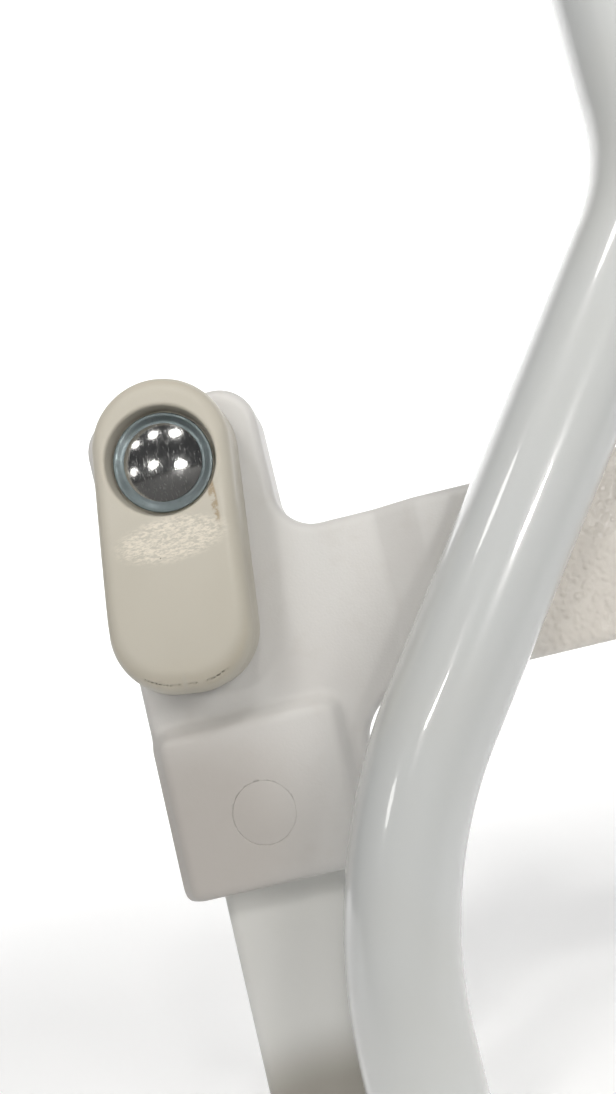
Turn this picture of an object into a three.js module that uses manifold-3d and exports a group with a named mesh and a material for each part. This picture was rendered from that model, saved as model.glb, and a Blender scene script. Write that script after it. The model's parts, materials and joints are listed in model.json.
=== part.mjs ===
// Stair gate latch: a moulded two-part housing clamped on a rectangular post, a hanging lever on a
// spindle, a crank that draws a sprung bolt along the housing's arm, and a bent round gate tube
// screwed to the front of that arm.
//
// Millimetres, +Z up. The front faces -Y. The part's origin is the centre of the post's lower end.
// Inside the latch group every x, y, z is counted from the spindle's axis where it meets the
// housing's front face, so y = 0 is that face and larger y is deeper into the housing.

import * as THREE from 'three';
import { mergeVertices } from 'three/addons/utils/BufferGeometryUtils.js';
import Module from 'manifold-3d';

const wasm = await Module();
wasm.setup();

// ---------------------------------------------------------------- driving dimensions

const GAP = 0.3;                 // clearance between pieces that touch or turn in each other
const THROUGH = 5;               // how far a cutting tool runs past the face it cuts
const BITE = 1;                  // how far joined bodies reach into each other
const FAR = 400;                 // farther out than any face of the part
const ROUND_SIDES = 16;          // facets round a small rod or bore
const SCREW_SIDES = 10;          // facets round a cover screw or its hole
const FACE_SIDES = 32;           // facets round the circles that show on the front

const post = {
  width: 30, depth: 15, corner: 3, wall: 1.5,
  topBelowSpindle: 64, bottomBelowSpindle: 160, centreX: 2.6, frontY: 2.5,
};
const housing = {
  left: -20, top: 17.3, tabRight: 21.3, tabCorner: 9.2, neckFillet: 9,
  armTop: -19.7, armBottom: -62, armEnd: 112, armpitFillet: 12,
  socketRight: 29.3, socketBottom: -98.5, socketCorner: 3.2,
  wall: 2.5, edgeRound: 2.4,
};
const joggle = { start: 42.7, end: 52.5, forward: 5.5 };
const pad = { width: 45.8, height: 40, raise: 4, round: 2.8, corner: 3, blend: 8 };
const cover = { thick: 2.5, edgeRound: 1.2 };
const lever = {
  topRadius: 15.5, topCentre: 3.5, bottomHalfWidth: 16, bottomCorner: 14, bottom: -51.6,
  frontY: -19, backY: -1.6, edgeRound: 3.5, wall: 2.5, restLean: 7,
  pocketRadius: 12.4, pocketFloorRadius: 11.7, pocketFloorY: -13.7, pocketWall: 1.8,
  hubRadius: 8, ribThick: 1.6, ribHeight: 8,
};
const spindle = { radius: 4, acrossFlats: 6.4, rearRadius: 3, frontEndY: -15.7 };
const retainer = {
  ringRadius: 11.25, ringThick: 0.9, ringRim: 1.5, ringDish: 0.5,
  domeRadius: 8.8, domeHeight: 1.95, domeWall: 0.7,
};
const bush = { wall: 2, flange: 1, flangeOverlap: 1.8, bossWall: 2.6, frontDepth: 4.7 };
const crank = {
  length: 41, hubRadius: 8, endRadius: 5, thick: 3, frontY: 5.2, spacerLength: 5, spacerWall: 1.6,
};
const crankPin = { radius: 2.5, shankRadius: 1.7, length: 6.7 };
const bolt = {
  travel: 18, height: 12, thick: 6, windowHeight: 7, windowLength: 39.4, noseBevel: 3.5,
  slotHeight: 6.8, tailMargin: 4.2, pinSocket: 4,
};
const spring = { outerRadius: 3.1, wireRadius: 0.45, coils: 11, guideRadius: 1.9, guideLength: 14 };
const anchor = { left: 21, thick: 3 };
const guideRib = { thick: 3, left: 30, right: 92 };
const endCap = { thick: 2.2, collarDepth: 6, collarWall: 2.4 };
const tube = {
  radius: 12.5, wall: 1.5, standoff: 2.5, lowerX: 24.7, upperX: 119.2, lowerVertexZ: -96.6,
  upperVertexZ: 33.4, lowerBend: 113, upperBend: 60, top: 95,
};
const plug = { thick: 2, spigot: 8 };
const saddle = { across: 18, along: 36, wrap: 4.5, screwOffset: 13.5 };
const tubeScrew = {
  radius: 2.5, headRadius: 4.75, headHeight: 2.8, headChamfer: 1.2, tipChamfer: 0.6, reach: 3,
  bossWall: 1.4,
};
const insert = { radius: 3.8, bulgeRadius: 4.6, bulge: 1.9 };
const coverScrew = {
  radius: 1.45, headRadius: 3, headHeight: 1.3, counterbore: 1.7, length: 11, tipLength: 1.5,
  bossRadius: 3.5, tabInset: 7.6, armInset: 6.2, armLeftX: 39, endInset: 9, footRise: 6.5,
};
const clamp = {
  belowSpindle: 81.5, boltRadius: 3, headRadius: 5.2, headHeight: 2.2, nutRadius: 4,
  nutHeadRadius: 6, nutHeadHeight: 2.2, headChamfer: 0.8, plugRadius: 7.2, plugThick: 1.5,
};

// ---------------------------------------------------------------- sizes that follow from them

const postBack = post.frontY + post.depth;
const shellBack = postBack;
const coverFront = shellBack + GAP;
const coverBack = coverFront + cover.thick;
const armFrontY = -joggle.forward;
const boltZ = -crank.length;
const crankHalfSwing = Math.asin(bolt.travel / 2 / crank.length);
const pinX = crank.length * Math.sin(crankHalfSwing);
const pinZ = -crank.length * Math.cos(crankHalfSwing);
const leverLean = THREE.MathUtils.degToRad(lever.restLean);
const boltFrontY = crank.frontY + crank.thick + 2 * GAP;
const boltBackY = boltFrontY + bolt.thick;
const boltTail = pinX - crankPin.radius - GAP - bolt.tailMargin;
const boltTip = housing.armEnd + GAP + endCap.thick + bolt.travel;
const windowLeft = anchor.left - GAP;
const windowRight = windowLeft + bolt.windowLength;
const chamberTop = housing.armTop - housing.wall;
const chamberFloor = housing.armBottom + housing.wall;
const tubeLean = Math.atan2(tube.upperX - tube.lowerX, tube.upperVertexZ - tube.lowerVertexZ);
const tubeInner = tube.radius - tube.wall;
const tubeBackY = armFrontY - tube.standoff;
const tubeAxisY = tubeBackY - tube.radius;
const saddleFrontY = tubeBackY - saddle.wrap;
const tubeXAt = (z) => tube.lowerX + (z - tube.lowerVertexZ) * Math.tan(tubeLean);
const saddleZ = (housing.armTop + housing.armBottom) / 2;
const tubeScrewSpots = [1, -1].map((side) => {
  const z = saddleZ + side * saddle.screwOffset * Math.cos(tubeLean);
  return { x: tubeXAt(z), z };
});
const armScrewX = [coverScrew.armLeftX, housing.armEnd - coverScrew.endInset];
const bossedScrewSpots = [
  { x: housing.left + coverScrew.tabInset, z: housing.top - coverScrew.tabInset },
  { x: housing.tabRight - coverScrew.tabInset, z: housing.top - coverScrew.tabInset },
  ...armScrewX.flatMap((x) => [
    { x, z: housing.armTop - coverScrew.armInset },
    { x, z: housing.armBottom + coverScrew.armInset },
  ]),
];
const postSides = [post.centreX - post.width / 2, post.centreX + post.width / 2];
const footScrewSpots = [
  { x: (housing.left + postSides[0]) / 2, z: housing.socketBottom + coverScrew.footRise },
  { x: (housing.socketRight + postSides[1]) / 2, z: housing.socketBottom + coverScrew.footRise },
];
const coverScrewSpots = [...bossedScrewSpots, ...footScrewSpots];
const clampSpot = { x: post.centreX, z: -clamp.belowSpindle };
const spacerFront = crank.frontY + crank.thick + GAP;
const rearBushFront = spacerFront + crank.spacerLength + GAP;

// ---------------------------------------------------------------- materials

const paint = (color, roughness, metalness = 0) =>
  new THREE.MeshStandardMaterial({ color, roughness, metalness });

const materials = {
  whiteMoulding: paint(0xd6d5d2, 0.45),
  creamMoulding: paint(0xc3beb0, 0.42),
  whitePaint: paint(0xd9dad6, 0.18),
  postPaint: paint(0xcac9c4, 0.3),
  zinc: paint(0x8b9ba0, 0.35, 0.9),
  brightSteel: paint(0xb4b6b6, 0.12, 1),
  steel: paint(0x9a9da0, 0.35, 0.95),
  nylon: paint(0xdedbd0, 0.5),
};

// ---------------------------------------------------------------- geometry helpers

const AXIS_X = new THREE.Vector3(1, 0, 0);
const AXIS_Y = new THREE.Vector3(0, 1, 0);
const AXIS_Z = new THREE.Vector3(0, 0, 1);

// A closed body from a triangle mesh: close corners merged, slivers dropped, faces turned outwards.
function solid(geometry) {
  const bare = geometry.clone();
  bare.deleteAttribute('normal');
  bare.deleteAttribute('uv');
  const merged = mergeVertices(bare, 1e-3);
  const vertProperties = new Float32Array(merged.attributes.position.array);
  const corners = merged.index.array;
  const kept = [];
  for (let i = 0; i < corners.length; i += 3) {
    const [a, b, c] = corners.slice(i, i + 3);
    if (a !== b && b !== c && c !== a) kept.push(a, b, c);
  }
  const made = (triVerts) => new wasm.Manifold(new wasm.Mesh({
    numProp: 3, vertProperties, triVerts: new Uint32Array(triVerts),
  }));
  const facingOut = made(kept);
  if (facingOut.volume() > 0) return facingOut;
  return made([...kept].reverse());
}

function geometryOf(body) {
  const mesh = body.getMesh();
  const geometry = new THREE.BufferGeometry();
  geometry.setAttribute('position', new THREE.BufferAttribute(mesh.vertProperties, 3));
  geometry.setIndex(new THREE.BufferAttribute(mesh.triVerts, 1));
  geometry.computeVertexNormals();
  return geometry;
}

const joined = (...bodies) => bodies.reduce((all, next) => all.add(next));
const without = (body, ...tools) => tools.reduce((left, tool) => left.subtract(tool), body);

// A box between two corners.
function box([x0, x1], [y0, y1], [z0, z1]) {
  const geometry = new THREE.BoxGeometry(x1 - x0, y1 - y0, z1 - z0);
  geometry.translate((x0 + x1) / 2, (y0 + y1) / 2, (z0 + z1) / 2);
  return solid(geometry);
}

// A round rod along y, centred on (x, z).
function rodY(radius, [y0, y1], { x, z } = { x: 0, z: 0 }, sides = ROUND_SIDES) {
  const geometry = new THREE.CylinderGeometry(radius, radius, y1 - y0, sides);
  geometry.translate(x, (y0 + y1) / 2, z);
  return solid(geometry);
}

// A piece turned about the y axis from a closed list of [radius, y], centred on (x, z).
function turnedY(profile, { x, z } = { x: 0, z: 0 }, sides = ROUND_SIDES) {
  const points = profile.map(([radius, y]) => new THREE.Vector2(radius, y));
  points.push(points[0].clone());
  const geometry = new THREE.LatheGeometry(points, sides);
  geometry.translate(x, 0, z);
  return solid(geometry);
}

// An outline drawn in x and z, filled from y0 (front) to y1 (back).
function plateXZ(shape, [y0, y1], curveSegments = 4) {
  const geometry = new THREE.ExtrudeGeometry(shape, {
    depth: y1 - y0, bevelEnabled: false, curveSegments,
  });
  geometry.rotateX(Math.PI / 2);
  geometry.translate(0, y1, 0);
  return solid(geometry);
}

// The same, with its front edge rounded (roundFront) or its back edge rounded.
function roundedPlateXZ(shape, [y0, y1], round, roundFront = true, curveSegments = 4) {
  const geometry = new THREE.ExtrudeGeometry(shape, {
    depth: y1 - y0 - round, bevelEnabled: true, bevelThickness: round, bevelSize: round,
    bevelOffset: -round, bevelSegments: 3, curveSegments,
  });
  geometry.rotateX(Math.PI / 2);
  geometry.translate(0, roundFront ? y1 : y1 - round, 0);
  const kept = roundFront ? [y0 - THROUGH, y1] : [y0, y1 + THROUGH];
  return solid(geometry).intersect(box([-FAR, FAR], kept, [-FAR, FAR]));
}

// An outline drawn in y and z, swept along x through stations, each pushed forward by its shift.
function sweptAlongX(shape, stations) {
  const geometry = new THREE.ExtrudeGeometry(shape, {
    depth: stations.length - 1, steps: stations.length - 1, bevelEnabled: false, curveSegments: 2,
  });
  const position = geometry.attributes.position;
  for (let i = 0; i < position.count; i += 1) {
    const station = stations[Math.round(position.getZ(i))];
    const forward = position.getX(i) < shellBack / 2 ? station.forward : 0;
    position.setXYZ(i, position.getX(i) - forward, position.getY(i), station.x);
  }
  geometry.applyMatrix4(new THREE.Matrix4().makeBasis(AXIS_Y, AXIS_Z, AXIS_X));
  return solid(geometry);
}

// A rectangle with rounded corners, centred on (x, y).
function roundedRectangle(width, height, radius, x = 0, y = 0) {
  const [w, h] = [width / 2 - radius, height / 2 - radius];
  const shape = new THREE.Shape();
  shape.absarc(x + w, y - h, radius, -Math.PI / 2, 0);
  shape.absarc(x + w, y + h, radius, 0, Math.PI / 2);
  shape.absarc(x - w, y + h, radius, Math.PI / 2, Math.PI);
  shape.absarc(x - w, y - h, radius, Math.PI, Math.PI * 1.5);
  return shape;
}

// ---------------------------------------------------------------- outlines

// The housing seen from the front: tab at the top, arm to the right, post socket below.
// inset moves the whole outline inwards, as for the space inside a wall.
function housingOutline(inset = 0, armEnd = housing.armEnd) {
  const left = housing.left + inset;
  const right = housing.tabRight - inset;
  const top = housing.top - inset;
  const armTop = housing.armTop - inset;
  const armBottom = housing.armBottom + inset;
  const socketRight = housing.socketRight - inset;
  const bottom = housing.socketBottom + inset;
  const corner = housing.tabCorner - inset;
  const neck = housing.neckFillet + inset;
  const armpit = housing.armpitFillet + inset;
  const foot = Math.max(housing.socketCorner - inset, 0.5);
  const quarter = Math.PI / 2;
  const shape = new THREE.Shape();
  shape.moveTo(left + foot, bottom);
  shape.absarc(socketRight - foot, bottom + foot, foot, -quarter, 0);
  shape.absarc(socketRight + armpit, armBottom - armpit, armpit, 2 * quarter, quarter, true);
  shape.lineTo(armEnd, armBottom);
  shape.lineTo(armEnd, armTop);
  shape.absarc(right + neck, armTop + neck, neck, 3 * quarter, 2 * quarter, true);
  shape.absarc(right - corner, top - corner, corner, 0, quarter);
  shape.absarc(left + corner, top - corner, corner, quarter, 2 * quarter);
  shape.absarc(left + foot, bottom + foot, foot, 2 * quarter, 3 * quarter);
  return shape;
}

// The arm's section, with its front edges rounded.
function armSection(inset = 0) {
  const front = inset;
  const top = housing.armTop - inset;
  const bottom = housing.armBottom + inset;
  const round = Math.max(housing.edgeRound - inset, 0.5);
  const back = inset > 0 ? shellBack + THROUGH : shellBack;
  const shape = new THREE.Shape();
  shape.moveTo(back, bottom);
  shape.lineTo(back, top);
  shape.absarc(front + round, top - round, round, Math.PI / 2, Math.PI);
  shape.absarc(front + round, bottom + round, round, Math.PI, Math.PI * 1.5);
  return shape;
}

// The lever hanging straight down: a round top and a fuller, squarer bottom.
function leverOutline(inset = 0) {
  const topRadius = lever.topRadius - inset;
  const corner = lever.bottomCorner - inset;
  const cornerX = lever.bottomHalfWidth - lever.bottomCorner;
  const cornerZ = lever.bottom + lever.bottomCorner;
  const shape = new THREE.Shape();
  shape.absarc(0, lever.topCentre, topRadius, 0, Math.PI);
  shape.absarc(-cornerX, cornerZ, corner, Math.PI, Math.PI * 1.5);
  shape.absarc(cornerX, cornerZ, corner, Math.PI * 1.5, Math.PI * 2);
  return shape;
}

// A link with a large round end at the origin and a small one a length below it.
function linkOutline(largeRadius, smallRadius, length) {
  const slant = Math.asin((largeRadius - smallRadius) / length);
  const shape = new THREE.Shape();
  shape.absarc(0, 0, largeRadius, -slant, Math.PI + slant);
  shape.absarc(0, -length, smallRadius, Math.PI + slant, 2 * Math.PI - slant);
  return shape;
}

// A round bar along y with two flats, turned about y by lean.
function flattedBar(radius, acrossFlats, [y0, y1], lean = 0) {
  const flats = new THREE.BoxGeometry(acrossFlats, y1 - y0, 3 * radius);
  flats.translate(0, (y0 + y1) / 2, 0);
  flats.rotateY(lean);
  return rodY(radius, [y0, y1]).intersect(solid(flats));
}

// The gate tube's centre line in the plane y = tubeAxisY: upright, leaning, upright again.
class TubeLine extends THREE.Curve {
  constructor(from, to) {
    super();
    const lowerTangent = tube.lowerBend * Math.tan(tubeLean / 2);
    const upperTangent = tube.upperBend * Math.tan(tubeLean / 2);
    const leaning = Math.hypot(tube.upperX - tube.lowerX, tube.upperVertexZ - tube.lowerVertexZ);
    this.start = new THREE.Vector2(tube.lowerX, from);
    this.runs = [
      { length: tube.lowerVertexZ - lowerTangent - from, bend: 0 },
      { length: tube.lowerBend * tubeLean, bend: 1 / tube.lowerBend },
      { length: leaning - lowerTangent - upperTangent, bend: 0 },
      { length: tube.upperBend * tubeLean, bend: -1 / tube.upperBend },
      { length: to - tube.upperVertexZ - upperTangent, bend: 0 },
    ];
    this.total = this.runs.reduce((sum, run) => sum + run.length, 0);
  }

  getPoint(t, target = new THREE.Vector3()) {
    let remaining = t * this.total;
    let { x, y: z } = this.start;
    let lean = 0;
    for (const run of this.runs) {
      const along = Math.min(remaining, run.length);
      const turned = along * run.bend;
      if (run.bend === 0) {
        x += along * Math.sin(lean);
        z += along * Math.cos(lean);
      } else {
        x += (Math.cos(lean) - Math.cos(lean + turned)) / run.bend;
        z += (Math.sin(lean + turned) - Math.sin(lean)) / run.bend;
      }
      lean += turned;
      remaining -= along;
      if (remaining <= 0) break;
    }
    return target.set(x, tubeAxisY, z);
  }
}

// ---------------------------------------------------------------- the post

function postTube() {
  const bottom = -post.bottomBelowSpindle + plug.thick + GAP;
  const height = -post.topBelowSpindle - bottom;
  const shape = roundedRectangle(post.width, post.depth, post.corner);
  const inner = [post.width - 2 * post.wall, post.depth - 2 * post.wall];
  shape.holes.push(roundedRectangle(...inner, post.corner - post.wall));
  const geometry = new THREE.ExtrudeGeometry(shape, {
    depth: height, bevelEnabled: false, curveSegments: 2,
  });
  geometry.translate(post.centreX, post.frontY + post.depth / 2, bottom);
  const middle = post.frontY + post.depth / 2;
  return without(
    solid(geometry),
    rodY(clamp.boltRadius + GAP, [post.frontY - THROUGH, middle], clampSpot),
    rodY(clamp.nutRadius + GAP, [middle, postBack + THROUGH], clampSpot),
  );
}

function postFootPlug() {
  const bottom = -post.bottomBelowSpindle;
  const centreY = post.frontY + post.depth / 2;
  const clear = 2 * (post.wall + GAP);
  const face = roundedRectangle(post.width, post.depth, post.corner, post.centreX, centreY);
  const inner = [post.width - clear, post.depth - clear];
  const stem = roundedRectangle(...inner, post.corner - post.wall, post.centreX, centreY);
  const filled = (shape, depth) => {
    const geometry = new THREE.ExtrudeGeometry(shape, { depth, bevelEnabled: false, curveSegments: 2 });
    geometry.translate(0, 0, bottom);
    return solid(geometry);
  };
  return filled(face, plug.thick).add(filled(stem, plug.thick + plug.spigot));
}

// ---------------------------------------------------------------- the housing

// The raised square over the post socket, rounded on every front edge.
function raisedPad() {
  const centreZ = housing.socketBottom + pad.height / 2;
  const shape = roundedRectangle(pad.width, pad.height, pad.corner, post.centreX, centreZ);
  return roundedPlateXZ(shape, [-pad.raise, pad.blend], pad.round, true, 2);
}

const jogStations = (from, to) => [
  { x: from, forward: 0 },
  { x: joggle.start, forward: 0 },
  { x: joggle.end, forward: joggle.forward },
  { x: to, forward: joggle.forward },
];

// Inner front face of the arm at a given x, behind the jogged wall.
const armInnerFront = (x) => housing.wall - (x > joggle.end ? joggle.forward : 0);

function housingFront() {
  const shell = joined(
    roundedPlateXZ(housingOutline(0, joggle.start + housing.edgeRound), [0, shellBack],
      housing.edgeRound),
    sweptAlongX(armSection(), jogStations(joggle.start, housing.armEnd).slice(1)),
    raisedPad(),
  );
  const chamber = joined(
    plateXZ(housingOutline(housing.wall, joggle.start), [housing.wall, shellBack + THROUGH]),
    sweptAlongX(armSection(housing.wall), jogStations(joggle.start - BITE, housing.armEnd + THROUGH)),
  ).intersect(box([-FAR, FAR], [-FAR, FAR], [chamberFloor, FAR]));
  const socket = box(
    [postSides[0] - GAP, postSides[1] + GAP],
    [post.frontY - GAP, shellBack + THROUGH],
    [housing.socketBottom - THROUGH, -post.topBelowSpindle + GAP],
  );
  const inside = [
    rodY(spindle.radius + GAP + bush.wall + GAP + bush.bossWall, [BITE, bush.frontDepth]),
    box([anchor.left, anchor.left + anchor.thick], [BITE, boltBackY + GAP],
      [boltZ - bolt.windowHeight / 2 + GAP, boltZ + bolt.windowHeight / 2 - GAP]),
    ...[guideRib.left, guideRib.right].flatMap((x) => [
      box([x, x + guideRib.thick], [armInnerFront(x) - BITE, boltBackY + BITE],
        [boltZ + bolt.height / 2 + GAP, chamberTop + BITE]),
      box([x, x + guideRib.thick], [armInnerFront(x) - BITE, boltBackY + BITE],
        [chamberFloor - BITE, boltZ - bolt.height / 2 - GAP]),
    ]),
    ...bossedScrewSpots.map((spot) =>
      rodY(coverScrew.bossRadius, [armInnerFront(spot.x) - BITE, shellBack], spot, SCREW_SIDES)),
    ...tubeScrewSpots.map((spot) =>
      rodY(tubeScrew.radius + GAP + tubeScrew.bossWall, [armInnerFront(spot.x) - BITE, shellBack],
        spot)),
  ];
  const plugFloor = -pad.raise + clamp.plugThick + GAP;
  const headBack = plugFloor + GAP + clamp.headHeight;
  const holes = [
    rodY(spindle.radius + GAP + bush.wall + GAP, [-THROUGH, bush.frontDepth + THROUGH]),
    rodY(clamp.plugRadius + GAP, [-pad.raise - THROUGH, plugFloor], clampSpot, FACE_SIDES),
    rodY(clamp.headRadius + GAP, [plugFloor - BITE, headBack + GAP], clampSpot),
    rodY(clamp.boltRadius + GAP, [headBack - BITE, post.frontY + BITE], clampSpot),
    ...coverScrewSpots.map((spot) =>
      rodY(coverScrew.radius + GAP, [coverFront - coverScrew.length, shellBack + THROUGH], spot,
        SCREW_SIDES)),
    ...tubeScrewSpots.map((spot) =>
      rodY(tubeScrew.radius + GAP, [armFrontY - THROUGH, shellBack + THROUGH], spot)),
  ];
  const ribbed = joined(without(shell, chamber, socket), ...inside);
  return without(ribbed, ...holes);
}

function housingRear() {
  const bossFront = rearBushFront + bush.flange + GAP;
  const bushOuter = spindle.rearRadius + GAP + bush.wall;
  const through = [coverFront - BITE, coverBack + THROUGH];
  const counterbore = [coverBack - coverScrew.counterbore, coverBack + THROUGH];
  return without(
    roundedPlateXZ(housingOutline(), [coverFront, coverBack], cover.edgeRound, false)
      .add(rodY(bushOuter + GAP + bush.bossWall, [bossFront, coverBack - BITE])),
    rodY(bushOuter + GAP, [bossFront - BITE, coverBack + THROUGH]),
    rodY(clamp.nutRadius + GAP, through, clampSpot),
    ...coverScrewSpots.flatMap((spot) => [
      rodY(coverScrew.radius + GAP, through, spot, SCREW_SIDES),
      rodY(coverScrew.headRadius + GAP, counterbore, spot, SCREW_SIDES),
    ]),
    ...tubeScrewSpots.map((spot) => rodY(tubeScrew.radius + GAP, through, spot)),
  );
}

// Plate that closes the arm's open end, with a collar that the bolt slides through.
function boltGuideCap() {
  const front = armFrontY;
  const round = housing.edgeRound;
  const face = new THREE.Shape();
  face.moveTo(coverBack, housing.armBottom);
  face.lineTo(coverBack, housing.armTop);
  face.absarc(front + round, housing.armTop - round, round, Math.PI / 2, Math.PI);
  face.absarc(front + round, housing.armBottom + round, round, Math.PI, Math.PI * 1.5);
  const geometry = new THREE.ExtrudeGeometry(face, {
    depth: endCap.thick, bevelEnabled: false, curveSegments: 2,
  });
  geometry.applyMatrix4(new THREE.Matrix4().makeBasis(AXIS_Y, AXIS_Z, AXIS_X));
  geometry.translate(housing.armEnd + GAP, 0, 0);
  const grown = (extra) => [
    [boltFrontY - GAP - extra, boltBackY + GAP + Math.min(extra, shellBack - boltBackY - 2 * GAP)],
    [boltZ - bolt.height / 2 - GAP - extra, boltZ + bolt.height / 2 + GAP + extra],
  ];
  const collarX = [housing.armEnd - endCap.collarDepth, housing.armEnd + GAP + BITE];
  const holeX = [housing.armEnd - endCap.collarDepth - THROUGH, housing.armEnd + THROUGH];
  return without(
    solid(geometry).add(box(collarX, ...grown(endCap.collarWall))),
    box(holeX, ...grown(0)),
  );
}

function coverScrewAt(spot) {
  const headFront = coverBack - coverScrew.counterbore + GAP;
  const tip = coverFront - coverScrew.length + GAP;
  return turnedY([
    [0, tip], [coverScrew.radius * 0.4, tip], [coverScrew.radius, tip + coverScrew.tipLength],
    [coverScrew.radius, headFront], [coverScrew.headRadius, headFront],
    [coverScrew.headRadius, headFront + coverScrew.headHeight * 0.6],
    [coverScrew.headRadius * 0.6, headFront + coverScrew.headHeight],
    [0, headFront + coverScrew.headHeight],
  ], spot, SCREW_SIDES);
}

// ---------------------------------------------------------------- the post clamp

function postClampBolt() {
  const headFront = -pad.raise + clamp.plugThick + 2 * GAP;
  const headBack = headFront + clamp.headHeight;
  return turnedY([
    [0, headFront], [clamp.headRadius - clamp.headChamfer, headFront],
    [clamp.headRadius, headFront + clamp.headChamfer],
    [clamp.headRadius, headBack], [clamp.boltRadius, headBack],
    [clamp.boltRadius, postBack - BITE], [0, postBack - BITE],
  ], clampSpot);
}

// A sleeve nut put in from behind: its sleeve reaches into the post to meet the bolt.
function postClampNut() {
  const headFront = coverBack + GAP;
  const headBack = headFront + clamp.nutHeadHeight;
  const sleeveFront = post.frontY + post.depth / 2 + GAP;
  const bore = clamp.boltRadius + GAP;
  const boreBack = headFront - BITE;
  return turnedY([
    [bore, sleeveFront], [clamp.nutRadius, sleeveFront], [clamp.nutRadius, headFront],
    [clamp.nutHeadRadius, headFront], [clamp.nutHeadRadius, headBack - clamp.headChamfer],
    [clamp.nutHeadRadius - clamp.headChamfer, headBack], [0, headBack], [0, boreBack],
    [bore, boreBack],
  ], clampSpot);
}

const padCoverPlug = () => rodY(clamp.plugRadius, [-pad.raise, -pad.raise + clamp.plugThick],
  clampSpot, FACE_SIDES);

// ---------------------------------------------------------------- the lever and its spindle

// Everything in this section hangs straight down; its group leans it to the rest angle.
function leverShell() {
  const bossRadius = lever.pocketRadius + lever.pocketWall;
  const pocket = turnedY([
    [0, lever.pocketFloorY], [lever.pocketFloorRadius, lever.pocketFloorY],
    [lever.pocketRadius, lever.frontY], [lever.pocketRadius, lever.frontY - THROUGH],
    [0, lever.frontY - THROUGH],
  ], undefined, FACE_SIDES);
  const wallBack = lever.frontY + lever.wall;
  const inner = plateXZ(leverOutline(lever.wall), [wallBack, lever.backY + THROUGH]);
  const kept = joined(
    rodY(bossRadius, [wallBack - BITE, lever.pocketFloorY + lever.wall], undefined, FACE_SIDES),
    rodY(lever.hubRadius, [lever.pocketFloorY, lever.backY]),
    box([-lever.ribThick / 2, lever.ribThick / 2], [wallBack - BITE, wallBack + lever.ribHeight],
      [lever.bottom + lever.wall - BITE, -bossRadius + BITE]),
  ).intersect(plateXZ(leverOutline(BITE), [lever.frontY, lever.backY]));
  const hole = flattedBar(spindle.radius + GAP, spindle.acrossFlats + 2 * GAP,
    [lever.frontY, lever.backY + THROUGH]);
  const outer = roundedPlateXZ(leverOutline(), [lever.frontY, lever.backY], lever.edgeRound, true, 7);
  return without(outer.subtract(inner).add(kept), pocket, hole);
}

// Flats at the front key the lever, and flats behind the front journal key the crank.
function spindleBar() {
  const journalBack = crank.frontY - GAP;
  const crankBack = crank.frontY + crank.thick;
  return joined(
    flattedBar(spindle.radius, spindle.acrossFlats, [spindle.frontEndY, lever.backY], leverLean),
    rodY(spindle.radius, [lever.backY, journalBack]),
    flattedBar(spindle.radius, spindle.acrossFlats, [journalBack, crankBack], -crankHalfSwing),
    rodY(spindle.rearRadius, [crankBack, coverBack - GAP]),
  );
}

// Sprung washer pushed on the spindle's end, dished towards the pocket floor.
function retainerRing() {
  const back = lever.pocketFloorY - GAP;
  const front = back - retainer.ringThick;
  const bore = spindle.radius + GAP;
  const flatRadius = retainer.ringRadius - retainer.ringRim;
  return turnedY([
    [bore, front], [bore, back], [flatRadius, back],
    [retainer.ringRadius, back - retainer.ringDish], [retainer.ringRadius, front - retainer.ringDish],
    [flatRadius, front],
  ], undefined, FACE_SIDES);
}

function retainerDome() {
  const base = lever.pocketFloorY - GAP - retainer.ringThick - GAP;
  const sphere = (retainer.domeRadius ** 2 + retainer.domeHeight ** 2) / (2 * retainer.domeHeight);
  const half = Math.asin(retainer.domeRadius / sphere);
  const centreY = base - retainer.domeHeight + sphere;
  const steps = 5;
  const arc = (radius, from, to) => Array.from({ length: steps + 1 }, (_, i) => {
    const angle = from + (to - from) * (i / steps);
    return [radius * Math.sin(angle), centreY - radius * Math.cos(angle)];
  });
  const innerRadius = sphere - retainer.domeWall;
  const innerHalf = Math.acos((centreY - base) / innerRadius);
  return turnedY([...arc(sphere, 0, half), ...arc(innerRadius, innerHalf, 0)], undefined,
    FACE_SIDES);
}

function spindleBushFront() {
  const bore = spindle.radius + GAP;
  const outer = bore + bush.wall;
  const flangeRadius = outer + bush.flangeOverlap;
  return turnedY([
    [bore, -GAP - bush.flange], [flangeRadius, -GAP - bush.flange], [flangeRadius, -GAP],
    [outer, -GAP], [outer, bush.frontDepth], [bore, bush.frontDepth],
  ]);
}

function spindleBushRear() {
  const bore = spindle.rearRadius + GAP;
  const outer = bore + bush.wall;
  const flangeRadius = outer + bush.flangeOverlap;
  return turnedY([
    [bore, rearBushFront], [flangeRadius, rearBushFront],
    [flangeRadius, rearBushFront + bush.flange], [outer, rearBushFront + bush.flange],
    [outer, coverBack - GAP], [bore, coverBack - GAP],
  ]);
}

const crankSpacer = () => {
  const bore = spindle.rearRadius + GAP;
  const outer = bore + crank.spacerWall;
  const back = spacerFront + crank.spacerLength;
  return turnedY([[bore, spacerFront], [outer, spacerFront], [outer, back], [bore, back]]);
};

const crankPlate = () => without(
  plateXZ(linkOutline(crank.hubRadius, crank.endRadius, crank.length),
    [crank.frontY, crank.frontY + crank.thick], 6),
  flattedBar(spindle.radius + GAP, spindle.acrossFlats + 2 * GAP,
    [crank.frontY - THROUGH, spacerFront + THROUGH]),
  rodY(crankPin.shankRadius + GAP, [crank.frontY - THROUGH, spacerFront + THROUGH],
    { x: 0, z: -crank.length }),
);

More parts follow.
